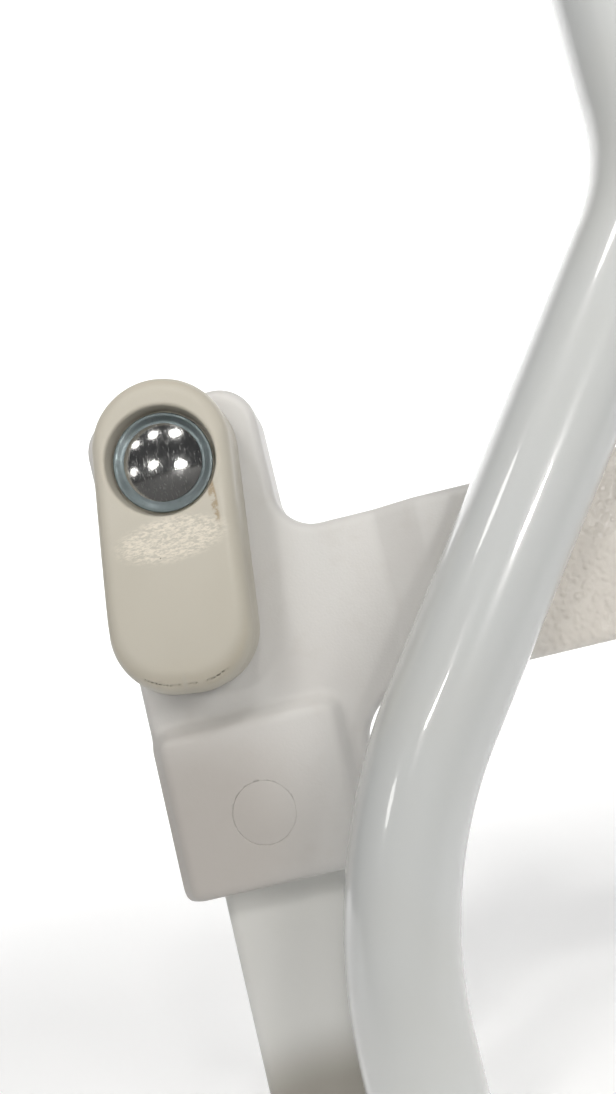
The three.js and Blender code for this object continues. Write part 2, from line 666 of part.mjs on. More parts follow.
const crankPinBar = () => {
  const pinBack = spacerFront + crankPin.length;
  return turnedY([
    [0, crank.frontY - GAP], [crankPin.shankRadius, crank.frontY - GAP],
    [crankPin.shankRadius, spacerFront], [crankPin.radius, spacerFront],
    [crankPin.radius, pinBack], [0, pinBack],
  ], { x: 0, z: -crank.length });
};

// ---------------------------------------------------------------- the bolt

function latchBolt() {
  const halfHeight = bolt.height / 2;
  const outline = new THREE.Shape();
  outline.moveTo(boltTail, boltZ - halfHeight);
  outline.lineTo(boltTip, boltZ - halfHeight);
  outline.lineTo(boltTip, boltZ + halfHeight);
  outline.lineTo(boltTail, boltZ + halfHeight);
  const slotHalf = crankPin.radius + GAP;
  const slotTop = pinZ + crankPin.radius + GAP;
  const through = [boltFrontY - THROUGH, boltBackY + THROUGH];
  const bevel = new THREE.Shape();
  bevel.moveTo(boltTip - bolt.noseBevel, boltFrontY);
  bevel.lineTo(boltTip - bolt.noseBevel, boltFrontY - THROUGH);
  bevel.lineTo(boltTip + THROUGH, boltFrontY - THROUGH);
  bevel.lineTo(boltTip + THROUGH, boltFrontY + bolt.noseBevel + THROUGH);
  const wedge = new THREE.ExtrudeGeometry(bevel, {
    depth: bolt.height + 2 * BITE, bevelEnabled: false,
  });
  wedge.translate(0, 0, boltZ - halfHeight - BITE);
  return without(
    plateXZ(outline, [boltFrontY, boltBackY]),
    box([pinX - slotHalf, pinX + slotHalf], through, [slotTop - bolt.slotHeight, slotTop]),
    box([windowLeft, windowRight], through,
      [boltZ - bolt.windowHeight / 2, boltZ + bolt.windowHeight / 2]),
    rodX(spring.guideRadius + GAP, [windowRight - BITE, windowRight + bolt.pinSocket]),
    solid(wedge),
  );
}

// A round rod along x on the bolt's centre line.
function rodX(radius, [x0, x1]) {
  const geometry = new THREE.CylinderGeometry(radius, radius, x1 - x0, ROUND_SIDES);
  geometry.rotateZ(Math.PI / 2);
  geometry.translate((x0 + x1) / 2, (boltFrontY + boltBackY) / 2, boltZ);
  return solid(geometry);
}

const springGuidePin = () =>
  rodX(spring.guideRadius, [windowRight - spring.guideLength, windowRight + bolt.pinSocket - GAP]);

function boltSpring() {
  const from = anchor.left + anchor.thick + spring.wireRadius + GAP;
  const to = windowRight - spring.wireRadius - GAP;
  const coilRadius = spring.outerRadius - spring.wireRadius;
  class Helix extends THREE.Curve {
    getPoint(t, target = new THREE.Vector3()) {
      const angle = t * spring.coils * 2 * Math.PI;
      return target.set(
        from + (to - from) * t,
        (boltFrontY + boltBackY) / 2 + coilRadius * Math.cos(angle),
        boltZ + coilRadius * Math.sin(angle),
      );
    }
  }
  const wire = new THREE.Shape().absarc(0, 0, spring.wireRadius, 0, 2 * Math.PI);
  return solid(new THREE.ExtrudeGeometry(wire, {
    extrudePath: new Helix(), steps: spring.coils * 9, bevelEnabled: false, curveSegments: 3,
  }));
}

// ---------------------------------------------------------------- the gate tube

function gateTube() {
  const line = new TubeLine(-post.bottomBelowSpindle + plug.thick + GAP, tube.top - plug.thick - GAP);
  const ring = new THREE.Shape().absarc(0, 0, tube.radius, 0, 2 * Math.PI);
  ring.holes.push(new THREE.Path().absarc(0, 0, tubeInner, 0, 2 * Math.PI, true));
  const geometry = new THREE.ExtrudeGeometry(ring, {
    extrudePath: line, steps: 28, bevelEnabled: false, curveSegments: 10,
  });
  return without(
    solid(geometry),
    ...tubeScrewSpots.map((spot) =>
      rodY(insert.radius + GAP, [tubeAxisY, tubeBackY + THROUGH], spot)),
  );
}

// A push-in plug for the tube's end at z, with its face outwards along direction (+1 up, -1 down).
function tubePlug(x, z, direction) {
  const points = [
    [0, 0], [tube.radius, 0], [tube.radius, -plug.thick], [tubeInner - GAP, -plug.thick],
    [tubeInner - GAP, -plug.thick - plug.spigot], [0, -plug.thick - plug.spigot],
  ].map(([radius, along]) => new THREE.Vector2(radius, along));
  const geometry = new THREE.LatheGeometry([...points, points[0].clone()], 24);
  geometry.rotateX(direction * Math.PI / 2);
  geometry.translate(x, tubeAxisY, z);
  return solid(geometry);
}

// The cradle between the arm's front face and the tube, turned to the tube's lean.
function tubeSaddle() {
  const block = new THREE.BoxGeometry(saddle.across, armFrontY - GAP - saddleFrontY, saddle.along);
  block.translate(0, (armFrontY - GAP + saddleFrontY) / 2, 0);
  const channel = new THREE.CylinderGeometry(tube.radius + GAP, tube.radius + GAP,
    saddle.along + 2 * THROUGH, 40);
  channel.rotateX(Math.PI / 2);
  channel.translate(0, tubeAxisY, 0);
  const lean = (geometry) => {
    geometry.rotateY(tubeLean);
    geometry.translate(tubeXAt(saddleZ), 0, saddleZ);
    return solid(geometry);
  };
  return without(
    lean(block), lean(channel),
    ...tubeScrewSpots.map((spot) =>
      rodY(insert.radius + GAP, [saddleFrontY - THROUGH, armFrontY + THROUGH], spot)),
  );
}

// Threaded insert set in the tube's back wall, bulged inside it.
function tubeInsertAt(spot) {
  const bore = tubeScrew.radius + GAP;
  const wallInside = tubeAxisY + Math.sqrt(tubeInner ** 2 - insert.bulgeRadius ** 2);
  const bulgeBack = wallInside - GAP;
  const bulgeFront = bulgeBack - insert.bulge;
  const back = armFrontY - 2 * GAP;
  return turnedY([
    [bore, bulgeFront], [insert.bulgeRadius, bulgeFront], [insert.bulgeRadius, bulgeBack],
    [insert.radius, bulgeBack], [insert.radius, back], [bore, back],
  ], spot);
}

function tubeScrewAt(spot) {
  const headFront = coverBack + GAP;
  const headBack = headFront + tubeScrew.headHeight;
  const tip = tubeAxisY + tubeInner - insert.bulge - tubeScrew.reach;
  return turnedY([
    [0, tip], [tubeScrew.radius - tubeScrew.tipChamfer, tip],
    [tubeScrew.radius, tip + tubeScrew.tipChamfer], [tubeScrew.radius, headFront],
    [tubeScrew.headRadius, headFront], [tubeScrew.headRadius, headBack - tubeScrew.headChamfer],
    [tubeScrew.headRadius - tubeScrew.headChamfer, headBack], [0, headBack],
  ], spot);
}

// ---------------------------------------------------------------- assembly

const assembly = new THREE.Group();
const latch = new THREE.Group();
latch.position.set(-post.centreX, -(post.frontY + post.depth / 2), post.bottomBelowSpindle);
assembly.add(latch);

function addTo(group, name, body, material) {
  const mesh = new THREE.Mesh(geometryOf(body), material);
  mesh.name = name;
  group.add(mesh);
}

const { whiteMoulding, creamMoulding, whitePaint, postPaint, zinc, brightSteel, steel, nylon } = materials;

addTo(latch, 'post_tube', postTube(), postPaint);
addTo(latch, 'post_foot_plug', postFootPlug(), nylon);
addTo(latch, 'housing_front', housingFront(), whiteMoulding);
addTo(latch, 'housing_rear', housingRear(), whiteMoulding);
addTo(latch, 'bolt_guide_cap', boltGuideCap(), whiteMoulding);
coverScrewSpots.forEach((spot, i) => addTo(latch, `cover_screw_${i + 1}`, coverScrewAt(spot), steel));

addTo(latch, 'post_clamp_bolt', postClampBolt(), steel);
addTo(latch, 'post_clamp_nut', postClampNut(), steel);
addTo(latch, 'pad_cover_plug', padCoverPlug(), whiteMoulding);

addTo(latch, 'spindle_bush_front', spindleBushFront(), nylon);
addTo(latch, 'spindle_bush_rear', spindleBushRear(), nylon);

const leverGroup = new THREE.Group();
leverGroup.rotation.y = leverLean;
latch.add(leverGroup);
addTo(leverGroup, 'lever_shell', leverShell(), creamMoulding);
addTo(leverGroup, 'retainer_ring', retainerRing(), zinc);
addTo(leverGroup, 'retainer_dome', retainerDome(), brightSteel);
addTo(latch, 'spindle', spindleBar(), steel);

const crankGroup = new THREE.Group();
crankGroup.rotation.y = -crankHalfSwing;
latch.add(crankGroup);
addTo(crankGroup, 'crank', crankPlate(), steel);
addTo(crankGroup, 'crank_pin', crankPinBar(), steel);
addTo(latch, 'crank_spacer', crankSpacer(), nylon);

addTo(latch, 'latch_bolt', latchBolt(), steel);
addTo(latch, 'spring_guide_pin', springGuidePin(), steel);
addTo(latch, 'bolt_spring', boltSpring(), brightSteel);

addTo(latch, 'gate_tube', gateTube(), whitePaint);
addTo(latch, 'tube_plug_top', tubePlug(tube.upperX, tube.top, 1), nylon);
addTo(latch, 'tube_plug_bottom', tubePlug(tube.lowerX, -post.bottomBelowSpindle, -1), nylon);
addTo(latch, 'tube_saddle', tubeSaddle(), nylon);
tubeScrewSpots.forEach((spot, i) => {
  const place = ['upper', 'lower'][i];
  addTo(latch, `tube_insert_${place}`, tubeInsertAt(spot), zinc);
  addTo(latch, `tube_screw_${place}`, tubeScrewAt(spot), steel);
});

export default assembly;
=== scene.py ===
"""Looks for the stair gate latch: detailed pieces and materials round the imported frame.

Everything below is worked out in millimetres, counted from the point where the spindle's axis meets
the housing's front face: x right, y into the housing, z up. place() turns that into the row's metres.
"""

import json
import math

import bmesh
import bpy
import numpy as np
from mathutils import Matrix, Vector


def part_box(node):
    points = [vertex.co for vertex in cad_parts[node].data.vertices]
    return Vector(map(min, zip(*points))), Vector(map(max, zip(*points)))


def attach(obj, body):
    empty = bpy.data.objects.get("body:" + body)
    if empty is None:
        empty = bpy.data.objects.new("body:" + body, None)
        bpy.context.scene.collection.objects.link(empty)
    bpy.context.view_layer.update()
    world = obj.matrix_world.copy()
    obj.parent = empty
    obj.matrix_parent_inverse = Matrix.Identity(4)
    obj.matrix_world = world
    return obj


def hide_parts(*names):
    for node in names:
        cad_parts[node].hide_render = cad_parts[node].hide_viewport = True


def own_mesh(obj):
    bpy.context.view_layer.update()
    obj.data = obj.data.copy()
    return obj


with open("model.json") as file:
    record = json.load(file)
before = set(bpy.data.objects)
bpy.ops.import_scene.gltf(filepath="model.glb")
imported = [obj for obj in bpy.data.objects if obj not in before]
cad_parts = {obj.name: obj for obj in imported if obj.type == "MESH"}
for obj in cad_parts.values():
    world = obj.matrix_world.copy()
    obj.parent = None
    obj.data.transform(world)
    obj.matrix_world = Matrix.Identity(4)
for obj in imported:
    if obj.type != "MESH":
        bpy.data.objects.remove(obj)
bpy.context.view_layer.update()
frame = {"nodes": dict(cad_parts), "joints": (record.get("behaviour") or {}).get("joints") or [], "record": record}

MM = 0.001
LEVER_JOINT = next(joint for joint in frame["joints"] if joint["name"] == "lever_turn")
SPINDLE = np.array(LEVER_JOINT["pos_m"])


def cad_box(node):
    """Lowest and highest corners of a CAD node, in millimetres from the spindle."""
    low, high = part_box(node)
    return (np.array(low) - SPINDLE) / MM, (np.array(high) - SPINDLE) / MM


# ---------------------------------------------------------------- sizes, in millimetres

SHELL_LOW, SHELL_HIGH = cad_box("housing_front")
COVER_BACK = cad_box("housing_rear")[1][1]
CLEARANCE = 0.3
COVER_FRONT = SHELL_HIGH[1] + CLEARANCE
POST_LOW, POST_HIGH = cad_box("post_tube")
GATE_LOW, GATE_HIGH = cad_box("gate_tube")
LEVER_LOW, LEVER_HIGH = cad_box("lever_shell")
RING_LOW, RING_HIGH = cad_box("retainer_ring")
DOME_LOW, DOME_HIGH = cad_box("retainer_dome")
PLUG_LOW, PLUG_HIGH = cad_box("pad_cover_plug")
CAP_LOW, CAP_HIGH = cad_box("bolt_guide_cap")
BOLT_LOW, BOLT_HIGH = cad_box("latch_bolt")
SADDLE_LOW, SADDLE_HIGH = cad_box("tube_saddle")

POST_CENTRE = (POST_LOW + POST_HIGH) / 2
TAB_RIGHT, TAB_CORNER, NECK_FILLET = 21.3, 9.2, 9.0
ARM_TOP, ARM_BOTTOM = CAP_HIGH[2], CAP_LOW[2]
ARM_MIDDLE = (ARM_TOP + ARM_BOTTOM) / 2
SOCKET_RIGHT, SOCKET_CORNER, ARMPIT_FILLET = 29.3, 3.2, 12.0
WALL, SHELL_EDGE, COVER_EDGE = 2.5, 2.4, 0.9
PAST_EDGE = 60.0
JOG_START, JOG_END, JOG_SOFTNESS = 42.7, 52.5, 0.7
JOG_FORWARD = -CAP_LOW[1]
PAD_RAISE = -PLUG_LOW[1]
PLUG_SEAM = 0.03
PAD_HALF_WIDTH, PAD_TOP, PAD_FLARE, PAD_EDGE = 19.85, -61.2, 0.76, 1.1
PAD_CORNER, PAD_FOOT_RISE, PAD_FOOT_EDGE, PAD_FILLET, PAD_DEPTH = 2.2, 1.4, 1.2, 0.9, 6.0
LEVER_LEAN = math.radians(7)
LEVER_FRONT, LEVER_BACK = LEVER_LOW[1], LEVER_HIGH[1]
LEVER_TOP_CIRCLE = (0.0, 3.5, 15.5)
LEVER_CORNER_CIRCLE = (2.0, -37.6, 14.0)
LEVER_EDGE, LEVER_FOOT_EDGE, LEVER_BACK_EDGE, LEVER_WALL, LEVER_ROOF = 3.6, 6.2, 0.5, 2.5, 3.1
LEVER_CROWN_RADIUS, LEVER_CROWN_Z = 420.0, -12.0
LEVER_FOOT_START, LEVER_FOOT_SPAN = -34.0, 14.0
POCKET_RADIUS, POCKET_FLOOR_RADIUS, POCKET_FLOOR, POCKET_RIM, POCKET_WALL = 12.4, 11.7, -13.7, 0.7, 1.8
HUB_RADIUS, BORE_RADIUS, BORE_HALF_FLAT = 8.0, 4.3, 3.5
RIB_HALF, RIB_BACK, RIB_TOP = 0.9, -8.5, -6.0
SADDLE_HALF_ACROSS, SADDLE_HALF_ALONG, SADDLE_CORNER, SADDLE_EDGE = 9.0, 18.0, 1.5, 0.5
SADDLE_GAP = 0.1
TUBE_RADIUS, TUBE_WALL = 12.5, 1.5
TUBE_AXIS_Y = (GATE_LOW[1] + GATE_HIGH[1]) / 2
TUBE_LOWER_X = cad_box("tube_plug_bottom")[0][0] + TUBE_RADIUS
TUBE_UPPER_X = cad_box("tube_plug_top")[0][0] + TUBE_RADIUS
TUBE_LOWER_VERTEX, TUBE_UPPER_VERTEX = -96.6, 33.4
TUBE_LOWER_BEND, TUBE_UPPER_BEND = 113.0, 60.0
TUBE_LEAN = math.atan2(TUBE_UPPER_X - TUBE_LOWER_X, TUBE_UPPER_VERTEX - TUBE_LOWER_VERTEX)
TUBE_FLATTENING = 2.2
ROUND_STEPS, FINE_STEPS = 64, 96
# Where the arm's grain and its painted reflection begin and reach full strength, along x.
GRAIN_AND_SHEEN_SPAN = (62.0, 78.0)


# ---------------------------------------------------------------- distances to shapes

def slab(value, low, high):
    return np.maximum(low - value, value - high)


def rectangle(x, z, x_range, z_range, corner):
    """Signed distance to a rectangle with round corners."""
    (x0, x1), (z0, z1) = x_range, z_range
    across = np.abs(x - (x0 + x1) / 2) - (x1 - x0) / 2 + corner
    up = np.abs(z - (z0 + z1) / 2) - (z1 - z0) / 2 + corner
    outside = np.hypot(np.maximum(across, 0), np.maximum(up, 0))
    return outside + np.minimum(np.maximum(across, up), 0) - corner


def either(a, b, fillet):
    """Union of two solids with a round fillet where they meet."""
    meeting = np.hypot(np.maximum(fillet - a, 0), np.maximum(fillet - b, 0))
    return np.maximum(fillet, np.minimum(a, b)) - meeting


def both(a, b, edge):
    """What two solids share, with a round edge where their faces meet."""
    return -either(-a, -b, edge)


def capsule(x, z, start, end):
    """Signed distance to the hull of two circles, each (x, z, radius)."""
    (ax, az, a_radius), (bx, bz, b_radius) = start, end
    length = math.hypot(bx - ax, bz - az)
    ux, uz = (bx - ax) / length, (bz - az) / length
    along = (x - ax) * ux + (z - az) * uz
    aside = np.abs((x - ax) * uz - (z - az) * ux)
    slope = (a_radius - b_radius) / length
    level = math.sqrt(1 - slope * slope)
    split = along * level - aside * slope
    near_start = np.hypot(aside, along) - a_radius
    near_end = np.hypot(aside, along - length) - b_radius
    side = aside * level + along * slope - a_radius
    return np.where(split < 0, near_start, np.where(split > level * length, near_end, side))


def leaned(x, z, lean):
    """Coordinates of a point in a frame turned about y by lean."""
    return x * math.cos(lean) - z * math.sin(lean), x * math.sin(lean) + z * math.cos(lean)


def soft_ramp(value, softness):
    """0 below zero, the value itself above, with a soft corner between."""
    return (value + np.sqrt(value * value + softness * softness)) / 2


def jog(x):
    """How far the arm's front stands forward at x."""
    rise = soft_ramp(x - JOG_START, JOG_SOFTNESS) - soft_ramp(x - JOG_END, JOG_SOFTNESS)
    return JOG_FORWARD * rise / (JOG_END - JOG_START)


def housing_outline(x, z):
    left, bottom = SHELL_LOW[0], SHELL_LOW[2]
    column = rectangle(x, z, (left, TAB_RIGHT), (bottom - PAST_EDGE, SHELL_HIGH[2]), TAB_CORNER)
    column = both(column, bottom - z, SOCKET_CORNER)
    socket = rectangle(x, z, (left, SOCKET_RIGHT), (bottom, ARM_MIDDLE), SOCKET_CORNER)
    arm = rectangle(x, z, (0, SHELL_HIGH[0] + PAST_EDGE), (ARM_BOTTOM, ARM_TOP), 0)
    fillet = np.where(z > ARM_MIDDLE, NECK_FILLET, ARMPIT_FILLET)
    return either(np.minimum(column, socket), arm, fillet)


def housing_front_distance(x, y, z):
    outline = housing_outline(x, z)
    front = -(y + jog(x))
    body = both(outline, front, SHELL_EDGE)
    bottom = SHELL_LOW[2]
    face = rectangle(x, z, (POST_CENTRE[0] - PAD_HALF_WIDTH, POST_CENTRE[0] + PAD_HALF_WIDTH),
                     (bottom + PAD_FOOT_RISE, PAD_TOP), PAD_CORNER)
    flare = PAD_FLARE * np.clip(y + PAD_RAISE, 0, PAD_RAISE)
    side = both((face - flare) / math.hypot(1, PAD_FLARE), bottom - z, PAD_FOOT_EDGE)
    pad = both(side, -(y + PAD_RAISE), PAD_EDGE)
    body = either(body, np.maximum(pad, y - PAD_DEPTH), PAD_FILLET)
    body = np.maximum(body, np.maximum(x - SHELL_HIGH[0], y - SHELL_HIGH[1]))
    chamber = np.maximum(outline + WALL, front + WALL)
    chamber = np.maximum(chamber, ARM_BOTTOM + WALL - z)
    post = slab(x, POST_LOW[0] - CLEARANCE, POST_HIGH[0] + CLEARANCE)
    post = np.maximum(post, POST_LOW[1] - CLEARANCE - y)
    post = np.maximum(post, z - POST_HIGH[2] - CLEARANCE)
    return np.maximum(body, np.maximum(-chamber, -post))


def lever_outline(x, z):
    cx, cz, radius = LEVER_CORNER_CIRCLE
    sides = [capsule(x, z, LEVER_TOP_CIRCLE, (side * cx, cz, radius)) for side in (-1, 1)]
    foot = np.maximum(slab(x, -cx, cx), slab(z, cz - radius, 0))
    return np.minimum(np.minimum(*sides), foot)


def lever_distance(x, y, z):
    x, z = leaned(x, z, LEVER_LEAN)
    outline = lever_outline(x, z)
    crown = (z - LEVER_CROWN_Z) ** 2 / (2 * LEVER_CROWN_RADIUS)
    toward_foot = np.clip((LEVER_FOOT_START - z) / LEVER_FOOT_SPAN, 0, 1)
    edge = LEVER_EDGE + (LEVER_FOOT_EDGE - LEVER_EDGE) * toward_foot
    body = both(outline, LEVER_FRONT + crown - y, edge)
    body = both(body, y - LEVER_BACK, LEVER_BACK_EDGE)
    radius = np.hypot(x, z)
    taper = (POCKET_RADIUS - POCKET_FLOOR_RADIUS) / (POCKET_FLOOR - LEVER_FRONT)
    pocket = np.maximum(radius - POCKET_RADIUS + taper * (y - LEVER_FRONT), y - POCKET_FLOOR)
    hollow = np.maximum(outline + LEVER_WALL, LEVER_FRONT + LEVER_ROOF - y)
    pocket_wall = np.maximum(radius - POCKET_RADIUS - POCKET_WALL, y - POCKET_FLOOR - WALL)
    rib = np.maximum(np.maximum(np.abs(x) - RIB_HALF, y - RIB_BACK), z - RIB_TOP)
    inside = np.minimum(np.minimum(pocket_wall, radius - HUB_RADIUS), rib)
    hollow = np.maximum(hollow, -inside)
    body = np.maximum(body, -hollow)
    body = both(body, -pocket, POCKET_RIM)
    bore = np.maximum(np.abs(x) - BORE_HALF_FLAT, radius - BORE_RADIUS)
    return np.maximum(body, -bore)


def saddle_distance(x, y, z):
    middle_x = (SADDLE_LOW[0] + SADDLE_HIGH[0]) / 2
    across, along = leaned(x - middle_x, z - ARM_MIDDLE, TUBE_LEAN)
    block = rectangle(across, along, (-SADDLE_HALF_ACROSS, SADDLE_HALF_ACROSS),
                      (-SADDLE_HALF_ALONG, SADDLE_HALF_ALONG), SADDLE_CORNER)
    block = both(block, slab(y, SADDLE_LOW[1], SADDLE_HIGH[1]), SADDLE_EDGE)
    channel = np.hypot(across, y - TUBE_AXIS_Y) - TUBE_RADIUS - SADDLE_GAP
    return np.maximum(block, -channel)


# ---------------------------------------------------------------- meshes

def place(points):
    """Millimetres from the spindle to the row's metres."""
    return np.asarray(points, float) * MM + SPINDLE


def add_piece(name, points, faces, body, node, smooth=True, attributes=None):
    """A mesh piece that stands for one CAD node."""
    mesh = bpy.data.meshes.new(name)
    mesh.from_pydata(place(points).tolist(), [], faces)
    mesh.validate()
    mesh.polygons.foreach_set("use_smooth", [smooth] * len(mesh.polygons))
    for key, values in (attributes or {}).items():
        mesh.attributes.new(key, "FLOAT", "POINT").data.foreach_set("value", values)
    mesh.update()
    piece = bpy.data.objects.new(name, mesh)
    bpy.context.scene.collection.objects.link(piece)
    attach(piece, body)
    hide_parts(node)
    return piece


def surface(distance, low, high, step):
    """Closed mesh where distance is zero: one vertex for each crossed cell, moved onto the surface."""
    axes = [np.arange(low[i] - 1.5 * step, high[i] + 2.5 * step, step) for i in range(3)]
    x, y, z = np.meshgrid(*axes, indexing="ij", sparse=True)
    value = distance(*np.broadcast_arrays(x, y, z)).astype(np.float32)
    inside = value < 0
    cells = [n - 1 for n in value.shape]
    corner = [(i, j, k) for i in (0, 1) for j in (0, 1) for k in (0, 1)]

    def shifted(grid, offset):
        return grid[tuple(slice(o, o + n) for o, n in zip(offset, cells))]

    count = sum(shifted(inside, c).astype(np.int8) for c in corner)
    crossed = (count > 0) & (count < 8)
    index = np.full(crossed.shape, -1, np.int64)
    index[crossed] = np.arange(int(crossed.sum()))
    total = np.zeros((int(crossed.sum()), 3))
    hits = np.zeros(len(total))
    for axis in range(3):
        for start in (c for c in corner if c[axis] == 0):
            end = tuple(c + (i == axis) for i, c in enumerate(start))
            a, b = shifted(value, start)[crossed], shifted(value, end)[crossed]
            cut = (a < 0) != (b < 0)
            where = np.tile(np.array(start, float), (len(a), 1))
            where[cut, axis] = a[cut] / (a[cut] - b[cut])
            total[cut] += where[cut]
            hits[cut] += 1
    points = np.argwhere(crossed) + total / hits[:, None]
    points = points * step + np.array([a[0] for a in axes])
    points, normal = settled(distance, points, step)
    faces = []
    for axis in range(3):
        u, v = (axis + 1) % 3, (axis + 2) % 3
        lower = np.take(inside, range(inside.shape[axis] - 1), axis)
        upper = np.take(inside, range(1, inside.shape[axis]), axis)
        for sign in (True, False):
            edges = np.argwhere((lower == sign) & (upper != sign))
            edges = edges[(edges[:, u] > 0) & (edges[:, v] > 0)]
            steps = [(0, 0), (-1, 0), (-1, -1), (0, -1)] if sign else [(0, 0), (0, -1), (-1, -1), (-1, 0)]
            quad = []
            for du, dv in steps:
                cell = edges.copy()
                cell[:, u] += du
                cell[:, v] += dv
                quad.append(index[tuple(cell.T)])
            faces.append(np.stack(quad, 1))
    inward = distance(*(points - normal).T) + 1
    outward = 1 - distance(*(points + normal).T)
    # The crevice values mark concave corners, which the white moulding darkens as painted shade.
    attributes = {"edge": np.clip(inward, 0, 1), "crevice_shade": np.clip(outward, 0, 1)}
    return points, np.concatenate(faces).tolist(), attributes


def settled(distance, points, step):
    """Points moved onto the surface along its slope, and the outward normals there."""
    start, probe = points.copy(), 0.02
    for _ in range(4):
        here = distance(*points.T)
        slope = np.stack([(distance(*(points + d).T) - distance(*(points - d).T)) / (2 * probe)
                          for d in np.eye(3) * probe], 1)
        size = np.maximum((slope ** 2).sum(1), 1e-3)
        points = points - slope * (here / size)[:, None]
        points = np.clip(points, start - 0.9 * step, start + 0.9 * step)
    return points, slope / np.sqrt(size)[:, None]


def outline_points(corners, arc_step=0.12):
    """Closed outline from (x, z, radius) corners, each rounded by an arc of that radius."""
    points = []
    for i, (x, z, radius) in enumerate(corners):
        here = np.array([x, z])
        before, after = np.array(corners[i - 1][:2]), np.array(corners[(i + 1) % len(corners)][:2])
        to_before = (before - here) / np.linalg.norm(before - here)
        to_after = (after - here) / np.linalg.norm(after - here)
        if radius == 0:
            points.append(here)
            continue
        half = math.acos(np.clip(to_before @ to_after, -1, 1)) / 2
        middle = to_before + to_after
        centre = here + middle / np.linalg.norm(middle) * radius / math.sin(half)
        start = here + to_before * radius / math.tan(half) - centre
        turn = math.pi - 2 * half
        cross = to_before[0] * to_after[1] - to_before[1] * to_after[0]
        steps = max(2, round(turn / arc_step))
        for step in range(steps + 1):
            angle = turn * step / steps * (1 if cross < 0 else -1)
            c, s = math.cos(angle), math.sin(angle)
            points.append(centre + [start[0] * c - start[1] * s, start[0] * s + start[1] * c])
    return np.array(points)


def box_outline(u_range, v_range, corner):
    (u0, u1), (v0, v1) = u_range, v_range
    return outline_points([(u0, v0, corner), (u1, v0, corner), (u1, v1, corner), (u0, v1, corner)])


def prism(outline, low, high, axes):
    """Side rings and end faces of an outline pushed from low to high; axes orders (u, v, depth)."""
    n = len(outline)
    points = np.empty((2 * n, 3))
    for ring, depth in enumerate((low, high)):
        rows = slice(ring * n, ring * n + n)
        points[rows, axes[0]] = outline[:, 0]
        points[rows, axes[1]] = outline[:, 1]
        points[rows, axes[2]] = depth
    faces = [[i, (i + 1) % n, n + (i + 1) % n, n + i] for i in range(n)]
    return points, faces + [list(range(n))[::-1], list(range(n, 2 * n))]


def lathe(profile, centre=(0.0, 0.0), closed=True, sides=ROUND_STEPS):
    """A piece turned about a line along y through centre (x, z), from [radius, y] points."""
    points, ring_start = [], []
    for radius, y in profile:
        ring_start.append(len(points))
        if radius < 1e-6:
            points.append((centre[0], y, centre[1]))
            continue
        for i in range(sides):
            angle = 2 * math.pi * i / sides
            points.append((centre[0] + radius * math.cos(angle), y, centre[1] + radius * math.sin(angle)))
    faces = []
    pairs = list(zip(range(len(profile)), range(1, len(profile))))
    if closed:
        pairs.append((len(profile) - 1, 0))
    for a, b in pairs:
        a_point, b_point = profile[a][0] < 1e-6, profile[b][0] < 1e-6
        if a_point and b_point:
            continue
        for i in range(sides):
            j = (i + 1) % sides
            corner = [ring_start[a] + (0 if a_point else i), ring_start[a] + (0 if a_point else j),
                      ring_start[b] + (0 if b_point else j), ring_start[b] + (0 if b_point else i)]
            faces.append(list(dict.fromkeys(corner)))
    return np.array(points), faces


def rounded_profile(corners, radius=0.3, steps=3):
    """The same [radius, y] outline with each corner off the axis rounded."""
    points = []
    for i, (r, y) in enumerate(corners):
        here = np.array([r, y], float)
        before, after = np.array(corners[i - 1], float), np.array(corners[(i + 1) % len(corners)], float)
        near_axis = r < 1e-6
        span = min(np.linalg.norm(before - here), np.linalg.norm(after - here)) / 2.01
        if near_axis or span < 1e-6:
            points.append((r, y))
            continue
        cut = min(radius, span)
        start = here + (before - here) / np.linalg.norm(before - here) * cut
        end = here + (after - here) / np.linalg.norm(after - here) * cut
        for step in range(steps + 1):
            t = step / steps
            point = start * (1 - t) ** 2 + here * 2 * t * (1 - t) + end * t ** 2
            points.append(tuple(point))
    return points


def face_outwards(piece):
    mesh = bmesh.new()
    mesh.from_mesh(piece.data)
    bmesh.ops.remove_doubles(mesh, verts=mesh.verts, dist=1e-7)
    bmesh.ops.recalc_face_normals(mesh, faces=mesh.faces)
    mesh.to_mesh(piece.data)
    mesh.free()


def apply_modifiers(piece):
    """Bakes a piece's modifiers into its mesh."""
    graph = bpy.context.evaluated_depsgraph_get()
    made = bpy.data.meshes.new_from_object(piece.evaluated_get(graph))
    old = piece.data
    piece.modifiers.clear()
    piece.data = made
    bpy.data.meshes.remove(old)


def bevelled(piece, width, segments=3, angle=40):
    """Rounds a piece's sharp edges, and keeps its flat faces flat in the shading."""
    bevel = piece.modifiers.new("bevel", "BEVEL")
    bevel.width = width * MM
    bevel.segments = segments
    bevel.limit_method = "ANGLE"
    bevel.angle_limit = math.radians(angle)
    bevel.harden_normals = True
    bevel.use_clamp_overlap = True
    apply_modifiers(piece)


def cut(piece, cutters):
    """Cuts closed shapes, each (points, faces), out of a piece."""
    points, faces = [], []
    for cutter_points, cutter_faces in cutters:
        start = sum(len(p) for p in points)
        points.append(np.asarray(cutter_points, float))
        faces += [[start + i for i in face] for face in cutter_faces]
    mesh = bpy.data.meshes.new("cutter")
    mesh.from_pydata(place(np.concatenate(points)).tolist(), [], faces)
    tool = bpy.data.objects.new("cutter", mesh)
    bpy.context.scene.collection.objects.link(tool)
    face_outwards(tool)
    boolean = piece.modifiers.new("cut", "BOOLEAN")
    boolean.operation = "DIFFERENCE"
    boolean.solver = "EXACT"
    boolean.object = tool
    apply_modifiers(piece)
    bpy.data.objects.remove(tool)
    bpy.data.meshes.remove(mesh)


def hole(radius, y_range, centre, sides=48):
    """A cutter for a round hole along y."""
    y0, y1 = y_range
    return lathe([(0, y0), (radius, y0), (radius, y1), (0, y1)], centre, closed=False, sides=sides)


# ---------------------------------------------------------------- pieces of the frame body

def centre_of(node):
    low, high = cad_box(node)
    return ((low[0] + high[0]) / 2, (low[2] + high[2]) / 2)


